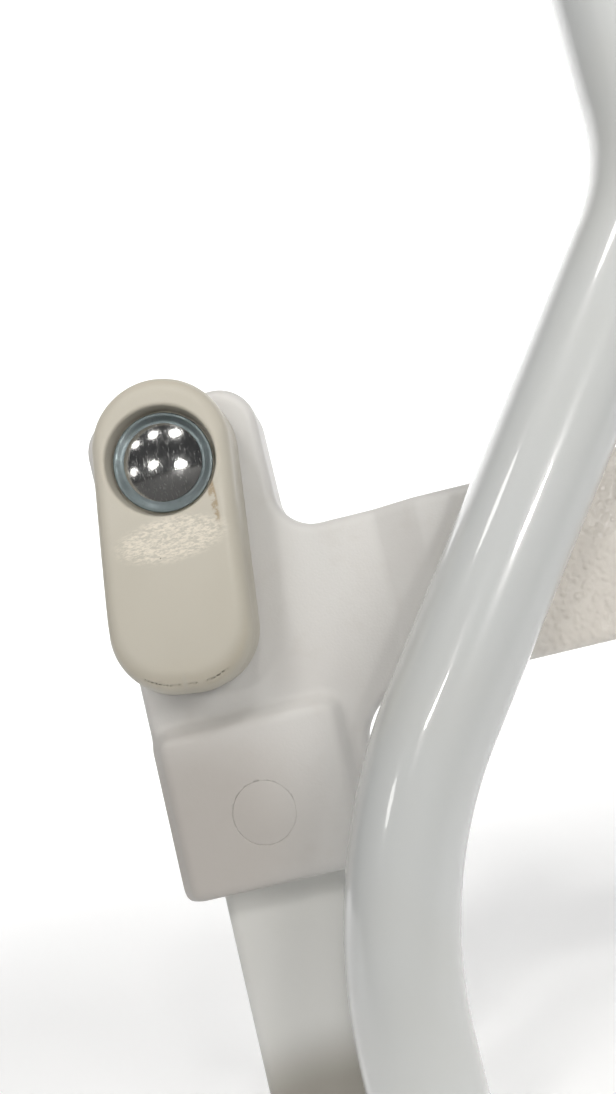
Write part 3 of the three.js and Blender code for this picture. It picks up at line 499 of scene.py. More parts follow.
COVER_SCREWS = [f"cover_screw_{i}" for i in range(1, 9)]
TUBE_SCREWS = ["tube_screw_upper", "tube_screw_lower"]
TUBE_INSERTS = ["tube_insert_upper", "tube_insert_lower"]
HOUSING_CORNERS = [
    (SHELL_LOW[0], SHELL_LOW[2], SOCKET_CORNER), (SOCKET_RIGHT, SHELL_LOW[2], SOCKET_CORNER),
    (SOCKET_RIGHT, ARM_BOTTOM, ARMPIT_FILLET), (SHELL_HIGH[0], ARM_BOTTOM, 0),
    (SHELL_HIGH[0], ARM_TOP, 0), (TAB_RIGHT, ARM_TOP, NECK_FILLET),
    (TAB_RIGHT, SHELL_HIGH[2], TAB_CORNER), (SHELL_LOW[0], SHELL_HIGH[2], TAB_CORNER),
]


def make_housing_front():
    step = 0.6
    points, faces, attributes = surface(housing_front_distance, SHELL_LOW - [1, 0, 1], SHELL_HIGH, step)
    piece = add_piece("housing_front_moulding", points, faces, "frame", "housing_front",
                      attributes=attributes)
    bush_hole, plug_hole = 6.6, (PLUG_HIGH[0] - PLUG_LOW[0]) / 2 + PLUG_SEAM
    bolt_hole, through, plug_at = 5.5, 0.6, centre_of("pad_cover_plug")
    cut(piece, [hole(bush_hole, (-9, 8), (0, 0)),
                hole(plug_hole, (PLUG_LOW[1] - 3, PLUG_HIGH[1] + 0.2), plug_at, FINE_STEPS)])
    cut(piece, [hole(bolt_hole, (PLUG_HIGH[1] - 1, through), plug_at)])
    return piece


def make_housing_rear():
    outline = outline_points(HOUSING_CORNERS)
    points, faces = prism(outline, COVER_FRONT, COVER_BACK, (0, 2, 1))
    piece = add_piece("housing_rear_cover", points, faces, "frame", "housing_rear", smooth=False)
    face_outwards(piece)
    bevelled(piece, COVER_EDGE, 4)
    counterbore, depth = 3.3, 1.7
    screw_hole, tube_screw_hole, nut_hole, bush_hole = 1.75, 2.8, 4.3, 5.6
    through = (COVER_FRONT - 2, COVER_BACK + 2)
    sunk = (COVER_BACK - depth, COVER_BACK + 2)
    cut(piece, [hole(counterbore, sunk, centre_of(n)) for n in COVER_SCREWS])
    cut(piece, [hole(screw_hole, through, centre_of(n)) for n in COVER_SCREWS]
        + [hole(tube_screw_hole, through, centre_of(n)) for n in TUBE_SCREWS]
        + [hole(nut_hole, through, centre_of("post_clamp_nut")), hole(bush_hole, through, (0, 0))])
    return piece


def make_guide_cap():
    front, back = CAP_LOW[1], COVER_BACK
    corners = [(front, ARM_BOTTOM, SHELL_EDGE), (back, ARM_BOTTOM, COVER_EDGE),
               (back, ARM_TOP, COVER_EDGE), (front, ARM_TOP, SHELL_EDGE)]
    seam, slot_gap, slot_corner = 0.05, 0.25, 0.6
    face_x = SHELL_HIGH[0] + seam
    points, faces = prism(outline_points(corners), face_x, CAP_HIGH[0], (1, 2, 0))
    piece = add_piece("bolt_guide_cap_moulding", points, faces, "frame", "bolt_guide_cap", smooth=False)
    face_outwards(piece)
    bevelled(piece, 0.5, 3)
    slot = box_outline((BOLT_LOW[1] - slot_gap, BOLT_HIGH[1] + slot_gap),
                       (BOLT_LOW[2] - slot_gap, BOLT_HIGH[2] + slot_gap), slot_corner)
    cut(piece, [prism(slot, face_x - 3, CAP_HIGH[0] + 3, (1, 2, 0))])
    return piece


def make_post():
    corner, wall = 3.0, 1.5
    (x0, y0, z0), (x1, y1, z1) = POST_LOW, POST_HIGH
    outer = box_outline((x0, x1), (y0, y1), corner)
    inner = box_outline((x0 + wall, x1 - wall), (y0 + wall, y1 - wall), corner - wall)
    n = len(outer)
    rings = [(outer, z0), (outer, z1), (inner, z1), (inner, z0)]
    points = np.concatenate([np.column_stack([ring, np.full(n, z)]) for ring, z in rings])
    faces = [[r * n + i, r * n + (i + 1) % n, (r + 1) % 4 * n + (i + 1) % n, (r + 1) % 4 * n + i]
             for r in range(4) for i in range(n)]
    piece = add_piece("post_tube_steel", points, faces, "frame", "post_tube")
    face_outwards(piece)
    sharpen(piece)
    return piece


def sharpen(piece, angle=35):
    """Marks edges sharper than angle, so that flat ends shade flat."""
    mesh = bmesh.new()
    mesh.from_mesh(piece.data)
    for edge in mesh.edges:
        if edge.is_manifold and edge.calc_face_angle(0) > math.radians(angle):
            edge.smooth = False
    mesh.to_mesh(piece.data)
    mesh.free()


def tube_line(z_from, z_to, spacing=1.6):
    """Points and headings along the gate tube's centre line, and how much each is bent."""
    lower_tangent = TUBE_LOWER_BEND * math.tan(TUBE_LEAN / 2)
    upper_tangent = TUBE_UPPER_BEND * math.tan(TUBE_LEAN / 2)
    leaning = math.hypot(TUBE_UPPER_X - TUBE_LOWER_X, TUBE_UPPER_VERTEX - TUBE_LOWER_VERTEX)
    runs = [
        (TUBE_LOWER_VERTEX - lower_tangent - z_from, 0.0),
        (TUBE_LOWER_BEND * TUBE_LEAN, 1 / TUBE_LOWER_BEND),
        (leaning - lower_tangent - upper_tangent, 0.0),
        (TUBE_UPPER_BEND * TUBE_LEAN, -1 / TUBE_UPPER_BEND),
        (z_to - TUBE_UPPER_VERTEX - upper_tangent, 0.0),
    ]
    x, z, heading = TUBE_LOWER_X, z_from, 0.0
    line = [(x, z, heading, 0.0)]
    for length, bend in runs:
        steps = max(1, round(length / spacing))
        for i in range(steps):
            middle = heading + bend * length / steps / 2
            x += math.sin(middle) * length / steps
            z += math.cos(middle) * length / steps
            heading += bend * length / steps
            along = (i + 1) / steps
            line.append((x, z, heading, bend * math.sin(math.pi * along)))
    return line


def make_gate_tube():
    line = tube_line(GATE_LOW[2], GATE_HIGH[2])
    points = []
    for radius in (TUBE_RADIUS, TUBE_RADIUS - TUBE_WALL):
        for x, z, heading, bend in line:
            across = radius * (1 - TUBE_FLATTENING * abs(bend))
            for i in range(ROUND_STEPS):
                angle = 2 * math.pi * i / ROUND_STEPS
                side = across * math.cos(angle)
                points.append((x + side * math.cos(heading), TUBE_AXIS_Y + radius * math.sin(angle),
                               z - side * math.sin(heading)))
    rows, n = len(line), ROUND_STEPS
    faces = []
    for shell in (0, 1):
        for row in range(rows - 1):
            start = (shell * rows + row) * n
            faces += [[start + i, start + (i + 1) % n, start + n + (i + 1) % n, start + n + i]
                      for i in range(n)]
    for row in (0, rows - 1):
        outer, inner = row * n, (rows + row) * n
        faces += [[outer + i, outer + (i + 1) % n, inner + (i + 1) % n, inner + i] for i in range(n)]
    piece = add_piece("gate_tube_steel", np.array(points), faces, "frame", "gate_tube")
    face_outwards(piece)
    sharpen(piece)
    return piece


def make_tube_plug(node, direction):
    low, high = cad_box(node)
    x = (low[0] + high[0]) / 2
    face_z = high[2] if direction > 0 else low[2]
    neck, flange, depth = 10.7, 2, 10
    profile = rounded_profile([(0, 0), (TUBE_RADIUS, 0), (TUBE_RADIUS, -flange), (neck, -flange),
                               (neck, -depth), (0, -depth)], 0.6, 4)
    points, faces = lathe(profile, closed=False)
    stood = np.column_stack([x + points[:, 0], TUBE_AXIS_Y + points[:, 2],
                             face_z + direction * points[:, 1]])
    piece = add_piece(node + "_moulding", stood, faces, "frame", node)
    face_outwards(piece)
    sharpen(piece)
    return piece


def make_turned(name, node, body, profile, centre=(0.0, 0.0), edge=0.25, closed=True, sides=ROUND_STEPS):
    points, faces = lathe(rounded_profile(profile, edge), centre, closed, sides)
    piece = add_piece(name, points, faces, body, node)
    face_outwards(piece)
    sharpen(piece)
    return piece


def make_pad_plug():
    radius = (PLUG_HIGH[0] - PLUG_LOW[0]) / 2
    front, back = PLUG_LOW[1] + PLUG_SEAM, PLUG_HIGH[1]
    return make_turned("pad_cover_plug_moulding", "pad_cover_plug", "frame",
                       [(0, front), (radius, front), (radius, back), (0, back)],
                       centre_of("pad_cover_plug"), 0.05, False, FINE_STEPS)


def cross_recess(centre, face_y, size, depth):
    """Cutters for a cross-shaped driver recess in a screw head whose face is at face_y."""
    cutters, half_slot, first_turn = [], 0.45, 0.3
    for turn in (first_turn, first_turn + math.pi / 2):
        c, s = math.cos(turn), math.sin(turn)
        corners = [(-size, -half_slot), (size, -half_slot), (size, half_slot), (-size, half_slot)]
        outline = np.array([(centre[0] + u * c - v * s, centre[1] + u * s + v * c) for u, v in corners])
        cutters.append(prism(outline, face_y - depth, face_y + 1, (0, 2, 1)))
    return cutters


def make_cover_screw(node):
    low, high = cad_box(node)
    centre, tip, back = centre_of(node), low[1], high[1]
    shank, head_radius, head, rim = 1.45, 3.0, back - 1.3, back - 0.7
    piece = make_turned(node + "_steel", node, "frame", [
        (0, tip), (0.5, tip), (shank, tip + 1.6), (shank, head), (head_radius, head), (head_radius, rim),
        (2.0, back), (0, back)], centre, 0.3, False, 32)
    for cutter in cross_recess(centre, back, 1.7, 1.1):
        cut(piece, [cutter])
    return piece


def make_tube_screw(node):
    low, high = cad_box(node)
    centre, tip, back = centre_of(node), low[1], high[1]
    shank, head_radius, head, rim, socket = 2.5, 4.75, back - 2.8, back - 1.3, 1.75
    piece = make_turned(node + "_steel", node, "frame", [
        (0, tip), (1.9, tip), (shank, tip + 1), (shank, head), (head_radius, head), (head_radius, rim),
        (3.2, back), (0, back)], centre, 0.4, False, 48)
    hexagon = outline_points([(centre[0] + socket * math.cos(a), centre[1] + socket * math.sin(a), 0)
                              for a in np.arange(6) * math.pi / 3])
    cut(piece, [prism(hexagon, back - 2, back + 1, (0, 2, 1))])
    return piece


def make_saddle():
    step = 0.5
    points, faces, attributes = surface(saddle_distance, SADDLE_LOW, SADDLE_HIGH, step)
    piece = add_piece("tube_saddle_moulding", points, faces, "frame", "tube_saddle", attributes=attributes)
    insert_hole, through = 4.1, (SADDLE_LOW[1] - 4, SADDLE_HIGH[1] + 2)
    cut(piece, [hole(insert_hole, through, centre_of(n)) for n in TUBE_INSERTS])
    return piece


# ---------------------------------------------------------------- pieces of the lever body

def make_lever():
    step = 0.45
    points, faces, attributes = surface(lever_distance, LEVER_LOW, LEVER_HIGH, step)
    return add_piece("lever_moulding", points, faces, "lever", "lever_shell", attributes=attributes)


def make_ring():
    outer = (RING_HIGH[0] - RING_LOW[0]) / 2
    front, back = RING_LOW[1], RING_HIGH[1]
    thick, bore = 0.9, 4.3
    profile = [(bore, back - thick), (bore, back), (outer - 1.7, back), (outer - 0.5, back - 0.35),
               (outer, front + thick * 0.6), (outer, front), (outer - 0.6, front),
               (outer - 1.9, back - thick)]
    return make_turned("retainer_ring_zinc", "retainer_ring", "lever", profile, edge=0.35, sides=FINE_STEPS)


def make_dome():
    radius, height = (DOME_HIGH[0] - DOME_LOW[0]) / 2, DOME_HIGH[1] - DOME_LOW[1]
    sphere = (radius ** 2 + height ** 2) / (2 * height)
    centre_y = DOME_LOW[1] + sphere
    profile, wall, steps = [], 0.7, 24
    for shell, order in ((sphere, 1), (sphere - wall, -1)):
        half = math.acos((centre_y - DOME_HIGH[1]) / shell)
        arc = [(shell * math.sin(half * t / steps), centre_y - shell * math.cos(half * t / steps))
               for t in range(steps + 1)]
        profile += arc[::order]
    points, faces = lathe(profile, closed=False, sides=FINE_STEPS)
    piece = add_piece("retainer_dome_steel", points, faces, "lever", "retainer_dome")
    face_outwards(piece)
    sharpen(piece, 50)
    return piece


# ---------------------------------------------------------------- pieces of the bolt body

def make_bolt():
    (x0, y0, z0), (x1, y1, z1) = BOLT_LOW, BOLT_HIGH
    nose = 3.5
    outline = np.array([(x0, y0), (x1 - nose, y0), (x1, y0 + nose), (x1, y1), (x0, y1)])
    points, faces = prism(outline, z0, z1, (0, 1, 2))
    piece = add_piece("latch_bolt_steel", points, faces, "bolt", "latch_bolt", smooth=False)
    face_outwards(piece)
    pin_x, half_slot, slot_z, slot_corner = x0 + 7.0, 2.8, (-44.0, -37.2), 1.0
    window_x, half_window, window_z = (20.7, 60.1), 3.5, (z0 + z1) / 2
    openings = [((pin_x - half_slot, pin_x + half_slot), slot_z),
                (window_x, (window_z - half_window, window_z + half_window))]
    for x_range, z_range in openings:
        opening = box_outline(x_range, z_range, slot_corner)
        cut(piece, [prism(opening, y0 - 1, y1 + 1, (0, 2, 1))])
    bevelled(piece, 0.35, 3)
    return piece


def make_spring():
    low, high = cad_box("bolt_spring")
    wire, coils, per_coil, sides = 0.45, 11, 24, 10
    coil_radius = (high[1] - low[1]) / 2 - wire
    middle_y, middle_z = (low[1] + high[1]) / 2, (BOLT_LOW[2] + BOLT_HIGH[2]) / 2
    start, end = low[0] + wire, high[0] - wire
    points = []
    total = coils * per_coil
    pitch = (end - start) / (coils * 2 * math.pi)
    for i in range(total + 1):
        angle = 2 * math.pi * i / per_coil
        centre = np.array([start + (end - start) * i / total, middle_y + coil_radius * math.cos(angle),
                           middle_z + coil_radius * math.sin(angle)])
        outward = np.array([0, math.cos(angle), math.sin(angle)])
        along = np.array([pitch, -coil_radius * math.sin(angle), coil_radius * math.cos(angle)])
        aside = np.cross(along / np.linalg.norm(along), outward)
        for j in range(sides):
            turn = 2 * math.pi * j / sides
            points.append(centre + wire * (outward * math.cos(turn) + aside * math.sin(turn)))
    faces = [[i * sides + j, i * sides + (j + 1) % sides, (i + 1) * sides + (j + 1) % sides,
              (i + 1) * sides + j] for i in range(total) for j in range(sides)]
    faces += [list(range(sides)), list(range(total * sides, (total + 1) * sides))[::-1]]
    piece = add_piece("bolt_spring_wire", np.array(points), faces, "frame", "bolt_spring")
    face_outwards(piece)
    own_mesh(piece)
    return piece


# ---------------------------------------------------------------- materials

class Finish:
    """One node material, built up from small helpers round its shader."""

    def __init__(self, name, colour, roughness, metallic=0.0, **sockets):
        self.material = bpy.data.materials.new(name)
        self.material.use_nodes = True
        self.tree = self.material.node_tree
        self.shader = self.tree.nodes["Principled BSDF"]
        self.shader.inputs["Metallic"].default_value = metallic
        self.shader.inputs["Roughness"].default_value = roughness
        for socket, value in sockets.items():
            self.shader.inputs[socket.replace("_", " ")].default_value = value
        self.at = self.node("ShaderNodeTexCoord").outputs["Object"]
        self.colour = self.rgb(colour)
        self.roughness = roughness
        self.height = None

    def node(self, kind, **settings):
        made = self.tree.nodes.new(kind)
        for key, value in settings.items():
            setattr(made, key, value)
        return made

    def link(self, source, target):
        if isinstance(source, (int, float, tuple)):
            target.default_value = source
        else:
            self.tree.links.new(source, target)

    def rgb(self, colour):
        return (*colour, 1.0)

    def scaled(self, size_mm, stretch=(1, 1, 1), turn=(0, 0, 0)):
        mapping = self.node("ShaderNodeMapping")
        self.link(self.at, mapping.inputs["Vector"])
        mapping.inputs["Scale"].default_value = [s / (size_mm * MM) for s in stretch]
        mapping.inputs["Rotation"].default_value = turn
        return mapping.outputs["Vector"]

    def noise(self, size_mm, detail=3.0, rough=0.55, distortion=0.0, stretch=(1, 1, 1), turn=(0, 0, 0)):
        noise = self.node("ShaderNodeTexNoise")
        self.link(self.scaled(size_mm, stretch, turn), noise.inputs["Vector"])
        noise.inputs["Scale"].default_value = 1.0
        noise.inputs["Detail"].default_value = detail
        noise.inputs["Roughness"].default_value = rough
        noise.inputs["Distortion"].default_value = distortion
        return noise.outputs["Fac"]

    def cells(self, size_mm, feature="F1", randomness=1.0):
        cells = self.node("ShaderNodeTexVoronoi", feature=feature)
        self.link(self.scaled(size_mm), cells.inputs["Vector"])
        cells.inputs["Scale"].default_value = 1.0
        cells.inputs["Randomness"].default_value = randomness
        return cells.outputs["Distance"]

    def ranged(self, value, low, high, to_low=0.0, to_high=1.0):
        ranged = self.node("ShaderNodeMapRange", interpolation_type="SMOOTHSTEP")
        self.link(value, ranged.inputs["Value"])
        numbers = {"From Min": low, "From Max": high, "To Min": to_low, "To Max": to_high}
        for socket, number in numbers.items():
            ranged.inputs[socket].default_value = number
        return ranged.outputs["Result"]

    def math(self, operation, a, b=0.0, c=0.0):
        made = self.node("ShaderNodeMath", operation=operation)
        self.link(a, made.inputs[0])
        self.link(b, made.inputs[1])
        self.link(c, made.inputs[2])
        return made.outputs[0]

    def along(self, axis):
        separate = self.node("ShaderNodeSeparateXYZ")
        self.link(self.at, separate.inputs[0])
        return separate.outputs[axis]

    def attribute(self, name):
        return self.node("ShaderNodeAttribute", attribute_name=name).outputs["Fac"]

    def tint(self, mask, colour, strength=1.0):
        """Lays a colour over the base where mask is 1."""
        mix = self.node("ShaderNodeMix", data_type="RGBA")
        self.link(self.math("MULTIPLY", mask, strength), mix.inputs["Factor"])
        self.link(self.colour, mix.inputs["A"])
        mix.inputs["B"].default_value = self.rgb(colour)
        self.colour = mix.outputs["Result"]

    def roughen(self, mask, amount):
        self.roughness = self.math("ADD", self.math("MULTIPLY", mask, amount), self.roughness)

    def raise_by(self, value, height_mm):
        """Adds value times height_mm to the surface relief."""
        scaled = self.math("MULTIPLY", value, height_mm)
        self.height = scaled if self.height is None else self.math("ADD", self.height, scaled)

    def spot(self, centre, size, softness=0.5):
        """1 inside an ellipsoid of size mm about centre mm, fading to 0 outside it."""
        offset = self.node("ShaderNodeVectorMath", operation="SUBTRACT")
        self.link(self.at, offset.inputs[0])
        offset.inputs[1].default_value = tuple(place(centre))
        shrunk = self.node("ShaderNodeVectorMath", operation="DIVIDE")
        self.link(offset.outputs[0], shrunk.inputs[0])
        shrunk.inputs[1].default_value = tuple(s * MM for s in size)
        length = self.node("ShaderNodeVectorMath", operation="LENGTH")
        self.link(shrunk.outputs[0], length.inputs[0])
        return self.ranged(length.outputs["Value"], 1 - softness, 1 + softness, 1.0, 0.0)

    def specks(self, spacing_mm, size, coverage):
        """Sparse small dots."""
        dots = self.ranged(self.cells(spacing_mm), size * 0.6, size, 1.0, 0.0)
        patches = self.ranged(self.noise(spacing_mm * 2.3, 1.0), coverage, coverage + 0.03)
        return self.math("MULTIPLY", dots, patches)

    def finish(self, relief=1.0):
        self.link(self.colour, self.shader.inputs["Base Color"])
        self.link(self.roughness, self.shader.inputs["Roughness"])
        if self.height is not None:
            bump = self.node("ShaderNodeBump")
            bump.inputs["Distance"].default_value = MM
            bump.inputs["Strength"].default_value = relief
            self.link(self.height, bump.inputs["Height"])
            self.link(bump.outputs["Normal"], self.shader.inputs["Normal"])
        return self.material


def white_moulding():
    made = Finish("white_moulding", (0.69, 0.685, 0.67), 0.40)
    made.tint(made.ranged(made.noise(38, 2), 0.35, 0.7), (0.66, 0.64, 0.62), 0.6)
    made.tint(made.ranged(made.noise(6, 4), 0.5, 0.8), (0.62, 0.60, 0.57), 0.35)
    # The pad's left side is darkened: painted shade.
    pad_shade = made.spot((-15, -PAD_RAISE, -84), (27, 9, 25), 0.5)
    made.tint(pad_shade, (0.42, 0.39, 0.36), 0.75)
    # Concave corners and creases are darkened: painted shade.
    made.tint(made.attribute("crevice_shade"), (0.30, 0.28, 0.25), 0.6)
    made.tint(made.specks(5.5, 0.045, 0.56), (0.10, 0.09, 0.08), 0.8)
    made.roughen(made.ranged(made.noise(14, 3), 0.3, 0.7), 0.10)
    made.raise_by(made.noise(0.55, 2.0, 0.5), 0.035)
    made.raise_by(made.noise(5, 2.0), 0.05)
    start_x, full_x = (place([x, 0, 0])[0] for x in GRAIN_AND_SHEEN_SPAN)
    end = made.ranged(made.along("X"), start_x, full_x)
    grain = made.ranged(made.cells(1.5, "SMOOTH_F1"), 0.1, 0.7, 1.0, 0.0)
    made.raise_by(made.math("MULTIPLY", end, grain), 0.22)
    # The grained end is also tinted lighter and warmer: a painted reflection of warm light.
    made.tint(end, (0.84, 0.79, 0.72), 0.8)
    made.roughen(end, -0.14)
    return made.finish()


def cream_moulding():
    made = Finish("cream_moulding", (0.58, 0.55, 0.475), 0.36)
    made.tint(made.ranged(made.noise(26, 2), 0.35, 0.7), (0.55, 0.52, 0.445), 0.7)
    made.tint(made.attribute("edge"), (0.60, 0.53, 0.40), 0.35)
    # A lighter, mottled band across the lever below the pocket: a painted highlight.
    sheen_band = made.spot((-1.5, LEVER_FRONT, -17.5), (11.5, 6, 4.6), 0.25)
    sparkle = made.ranged(made.noise(0.7, 3.0, 0.7, 0, (0.6, 1, 1.6), (0, 0.5, 0)), 0.38, 0.62)
    made.tint(made.math("MULTIPLY", sheen_band, sparkle), (0.86, 0.80, 0.69), 0.8)
    scuff = made.spot((9.6, LEVER_FRONT, -10.0), (0.8, 4, 6.6), 0.3)
    made.tint(made.math("MULTIPLY", scuff, made.ranged(made.noise(1.4, 4, 0.7), 0.38, 0.55)),
              (0.36, 0.27, 0.16), 0.8)
    made.tint(made.specks(4.2, 0.05, 0.58), (0.14, 0.11, 0.08), 0.8)
    made.roughen(made.ranged(made.noise(9, 4), 0.3, 0.7), 0.12)
    made.raise_by(made.noise(0.45, 2.0, 0.5), 0.02)
    made.raise_by(made.noise(7, 2.0), 0.04)
    return made.finish()


def gloss_paint():
    made = Finish("white_paint", (0.67, 0.69, 0.69), 0.22, Coat_Weight=1.0, Coat_Roughness=0.025)
    made.tint(made.ranged(made.noise(45, 2), 0.35, 0.7), (0.65, 0.66, 0.64), 0.6)
    made.tint(made.specks(7, 0.04, 0.58), (0.12, 0.11, 0.10), 0.8)
    made.raise_by(made.noise(2.2, 2.0, 0.4), 0.006)
    return made.finish()


def post_paint():
    made = Finish("post_paint", (0.68, 0.68, 0.66), 0.28)
    made.tint(made.ranged(made.noise(30, 3), 0.35, 0.7), (0.62, 0.62, 0.59), 0.6)
    made.tint(made.specks(6, 0.05, 0.58), (0.12, 0.11, 0.10), 0.8)
    # The post darkens towards its foot: painted shade.
    foot = made.spot((POST_CENTRE[0], POST_LOW[1], POST_LOW[2] - 4), (40, 60, 24), 0.35)
    made.tint(foot, (0.22, 0.20, 0.16), 0.8)
    made.roughen(made.ranged(made.noise(11, 3), 0.3, 0.7), 0.1)
    made.raise_by(made.noise(1.6, 2.0, 0.4), 0.008)
    return made.finish()


def zinc():
    made = Finish("zinc", (0.20, 0.24, 0.25), 0.34, 1.0)
    made.tint(made.ranged(made.noise(5, 3), 0.4, 0.7), (0.25, 0.29, 0.30), 0.6)
    made.tint(made.ranged(made.noise(1.2, 4), 0.55, 0.8), (0.12, 0.15, 0.16), 0.5)
    made.roughen(made.ranged(made.noise(2.2, 4), 0.3, 0.7), 0.16)
    made.raise_by(made.noise(0.5, 3.0), 0.01)
    return made.finish()


def bright_steel():
    made = Finish("bright_steel", (0.60, 0.60, 0.59), 0.1, 1.0)
    scratch = made.noise(1.6, 6.0, 0.7, 0.6, stretch=(6, 1, 1), turn=(0, 0.9, 0))
    made.roughen(made.ranged(scratch, 0.45, 0.75), 0.26)
    made.tint(made.ranged(made.noise(2.5, 5), 0.5, 0.75), (0.42, 0.42, 0.41), 0.5)
    made.raise_by(scratch, 0.008)
    return made.finish()


def plain_steel():
    made = Finish("steel", (0.48, 0.49, 0.50), 0.32, 1.0)
    made.tint(made.ranged(made.noise(6, 3), 0.4, 0.7), (0.56, 0.55, 0.50), 0.4)
    made.roughen(made.ranged(made.noise(0.6, 4, 0.6, 0, (8, 1, 1)), 0.3, 0.7), 0.18)
    made.raise_by(made.noise(0.5, 3.0, 0.5, 0, (8, 1, 1)), 0.006)
    return made.finish()


def nylon():
    made = Finish("nylon", (0.70, 0.68, 0.62), 0.45, Subsurface_Weight=0.05)
    made.tint(made.ranged(made.noise(8, 3), 0.4, 0.7), (0.64, 0.62, 0.56), 0.5)
    made.roughen(made.ranged(made.noise(4, 3), 0.3, 0.7), 0.1)
    made.raise_by(made.noise(0.6, 3.0), 0.01)
    return made.finish()


FLOOR_GLOW, GREY_ENDS, WHITE_STARTS = 0.26, -0.14, -0.03


def plain_backdrop():
    """White and faintly glowing behind the object, and a quieter grey in front of it."""
    made = Finish("backdrop", (0.86, 0.86, 0.86), 0.9)
    made.tint(made.ranged(made.noise(300, 2), 0.3, 0.7), (0.84, 0.84, 0.84), 0.5)
    in_front = made.ranged(made.along("Y"), GREY_ENDS, WHITE_STARTS, 1.0, 0.0)
    made.tint(in_front, (0.16, 0.16, 0.16))
    made.shader.inputs["Emission Color"].default_value = (1, 1, 1, 1)
    glow = made.math("MULTIPLY_ADD", in_front, -FLOOR_GLOW, FLOOR_GLOW)
    made.link(glow, made.shader.inputs["Emission Strength"])
    return made.finish()


MATERIALS = {
    "white_moulding": white_moulding(), "cream_moulding": cream_moulding(), "white_paint": gloss_paint(),
    "post_paint": post_paint(), "zinc": zinc(), "bright_steel": bright_steel(), "steel": plain_steel(),
    "nylon": nylon(),
}


def dress(piece, slot):
    piece.data.materials.clear()
    piece.data.materials.append(MATERIALS[slot])


# ---------------------------------------------------------------- making everything

dress(make_housing_front(), "white_moulding")
dress(make_housing_rear(), "white_moulding")
dress(make_guide_cap(), "white_moulding")
dress(make_pad_plug(), "white_moulding")
dress(make_post(), "post_paint")
dress(make_gate_tube(), "white_paint")
dress(make_tube_plug("tube_plug_top", 1), "nylon")
dress(make_tube_plug("tube_plug_bottom", -1), "nylon")
dress(make_saddle(), "nylon")
for screw in COVER_SCREWS:
    dress(make_cover_screw(screw), "steel")
for screw in TUBE_SCREWS:
    dress(make_tube_screw(screw), "steel")
dress(make_lever(), "cream_moulding")
dress(make_ring(), "zinc")
dress(make_dome(), "bright_steel")
dress(make_bolt(), "steel")
dress(make_spring(), "bright_steel")

for subpart in frame["record"]["subparts"]:
    carried = frame["nodes"][subpart["node"]]
    carried.data.materials.clear()
    carried.data.materials.append(MATERIALS[subpart["material_slot"]])


# ---------------------------------------------------------------- stage, light and camera

LAMP_SIZE, LAMP_DISTANCE = 0.2, 1.6
LAMP_WHITE = (1.0, 0.98, 0.95)
LAMP_TARGET = (20, 0, -40)
CONE_HALF_ANGLE, CONE_BLEND = math.radians(24), 0.004
WALL_Y, WALL_WASH_POWER, WALL_WASH_SIZE = 1.3, 15, 1.2
FILL_SIZE, WORLD_STRENGTH = 0.6, 0.06
CAMERA_LENS, CAMERA_PLACE = 32.9, (37.24, -233.0, -42.61)
CAMERA_YAW, CAMERA_PITCH, CAMERA_ROLL = (math.radians(angle) for angle in (2.71, 4.35, -13.61))


def add_backdrop():
    """A pale floor that curves up into a wall behind the object."""
    floor_z, wall_y, bend, half_width, height, front = 0.0, WALL_Y, 0.35, 2.2, 2.6, -2.2
    profile = [(front, floor_z), (wall_y - bend, floor_z)]
    profile += [(wall_y - bend + bend * math.sin(a), floor_z + bend * (1 - math.cos(a)))
                for a in np.linspace(0.1, math.pi / 2, 15)]
    profile.append((wall_y, height))
    points = [(side * half_width, y, z) for y, z in profile for side in (-1, 1)]
    faces = [[2 * i, 2 * i + 1, 2 * i + 3, 2 * i + 2] for i in range(len(profile) - 1)]
    mesh = bpy.data.meshes.new("backdrop")
    mesh.from_pydata(points, [], faces)
    mesh.polygons.foreach_set("use_smooth", [True] * len(faces))
    backdrop = bpy.data.objects.new("backdrop", mesh)
    bpy.context.scene.collection.objects.link(backdrop)
    backdrop.data.materials.append(plain_backdrop())


def add_lamp(name, direction, power, size=LAMP_SIZE, mirrored=True):
    """A round lamp in a direction from the housing; an unmirrored one makes no highlights."""
    data = bpy.data.lights.new(name, "AREA")
    data.shape = "DISK"
    data.size = size
    data.energy = power
    data.color = LAMP_WHITE
    lamp = bpy.data.objects.new(name, data)
    lamp.visible_glossy = mirrored
    toward = Vector(direction).normalized()
    lamp.location = Vector(place(LAMP_TARGET)) + toward * LAMP_DISTANCE
    lamp.rotation_euler = toward.to_track_quat("Z", "Y").to_euler()
    bpy.context.scene.collection.objects.link(lamp)


def add_shuttered_lamp(name, direction, power, edge_z, lights_above=True):
    """A lamp whose cone ends at a height on the housing; it leaves what is past it in shade.

    The one that lights what is below its edge makes no highlights.
    """
    data = bpy.data.lights.new(name, "SPOT")
    data.shadow_soft_size = LAMP_SIZE / 2
    data.energy = power
    data.color = LAMP_WHITE
    data.spot_size = 2 * CONE_HALF_ANGLE
    data.spot_blend = CONE_BLEND
    lamp = bpy.data.objects.new(name, data)
    lamp.visible_glossy = lights_above
    toward = Vector(direction).normalized()
    edge = Vector(place([LAMP_TARGET[0], 0, edge_z]))
    lamp.location = edge + toward * LAMP_DISTANCE
    sideways = toward.cross(Vector((0, 0, 1))).normalized()
    tilt = -CONE_HALF_ANGLE if lights_above else CONE_HALF_ANGLE
    beam = Matrix.Rotation(tilt, 3, sideways) @ -toward
    lamp.rotation_euler = (-beam).to_track_quat("Z", "Y").to_euler()
    bpy.context.scene.collection.objects.link(lamp)


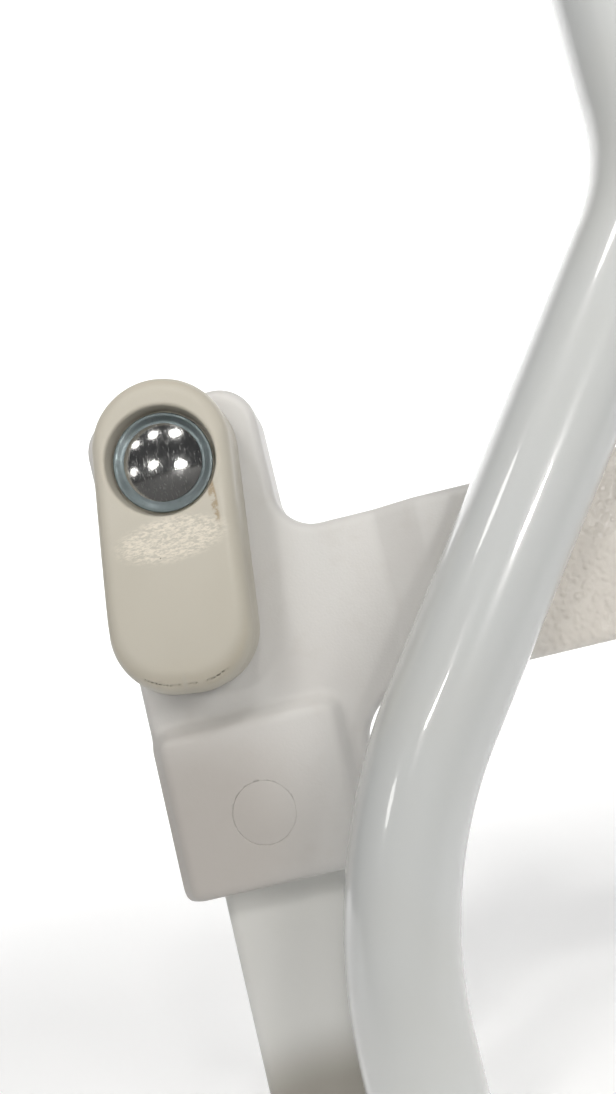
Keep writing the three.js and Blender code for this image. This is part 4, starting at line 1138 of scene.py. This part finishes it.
def add_lights():
    """Two rows of ceiling lamps and two soft fills in front, and two broad lights on the wall behind."""
    add_shuttered_lamp("lamp_low_right", (0.23, -0.97, 0.06), 26, -48)
    add_shuttered_lamp("lamp_low_middle", (-0.35, -0.92, 0.20), 14, -51)
    add_shuttered_lamp("lamp_beneath", (0.10, -0.97, 0.10), 14, -84, lights_above=False)
    add_lamp("lamp_low_left", (-0.75, -0.65, 0.15), 0.7)
    add_lamp("lamp_high_left", (-0.57, -0.53, 0.62), 0.8)
    add_lamp("lamp_high_middle", (-0.22, -0.64, 0.74), 1.6)
    add_lamp("lamp_high_right", (0.20, -0.69, 0.70), 3.2)
    add_lamp("fill_left", (-0.30, -0.75, 0.60), 6.2, FILL_SIZE, mirrored=False)
    add_lamp("fill_right", (0.62, -0.75, 0.25), 7.8, FILL_SIZE, mirrored=False)
    for side in (-1, 1):
        data = bpy.data.lights.new("wall_wash", "AREA")
        data.size = WALL_WASH_SIZE
        data.energy = WALL_WASH_POWER
        wash = bpy.data.objects.new("wall_wash", data)
        wash.location = (side * 0.9, 0.45, 1.1)
        wash.rotation_euler = Vector((0, -1, 0.3)).to_track_quat("Z", "Y").to_euler()
        bpy.context.scene.collection.objects.link(wash)


def add_world():
    world = bpy.data.worlds.new("studio")
    world.use_nodes = True
    background = world.node_tree.nodes["Background"]
    background.inputs["Color"].default_value = (0.95, 0.97, 1.0, 1.0)
    background.inputs["Strength"].default_value = WORLD_STRENGTH
    bpy.context.scene.world = world


def add_camera():
    """A close viewpoint, a little right of and below the spindle, and rolled."""
    data = bpy.data.cameras.new("camera")
    data.sensor_width = 36.0
    data.lens = CAMERA_LENS
    data.clip_start = 0.01
    camera = bpy.data.objects.new("camera", data)
    turned = Matrix.Rotation(CAMERA_YAW, 4, "Z") @ Matrix.Rotation(math.pi / 2 + CAMERA_PITCH, 4, "X")
    turned = turned @ Matrix.Rotation(CAMERA_ROLL, 4, "Z")
    camera.matrix_world = Matrix.Translation(Vector(place(CAMERA_PLACE))) @ turned
    bpy.context.scene.collection.objects.link(camera)
    bpy.context.scene.camera = camera


add_backdrop()
add_lights()
add_world()
add_camera()
bpy.context.scene.view_settings.view_transform = "Standard"
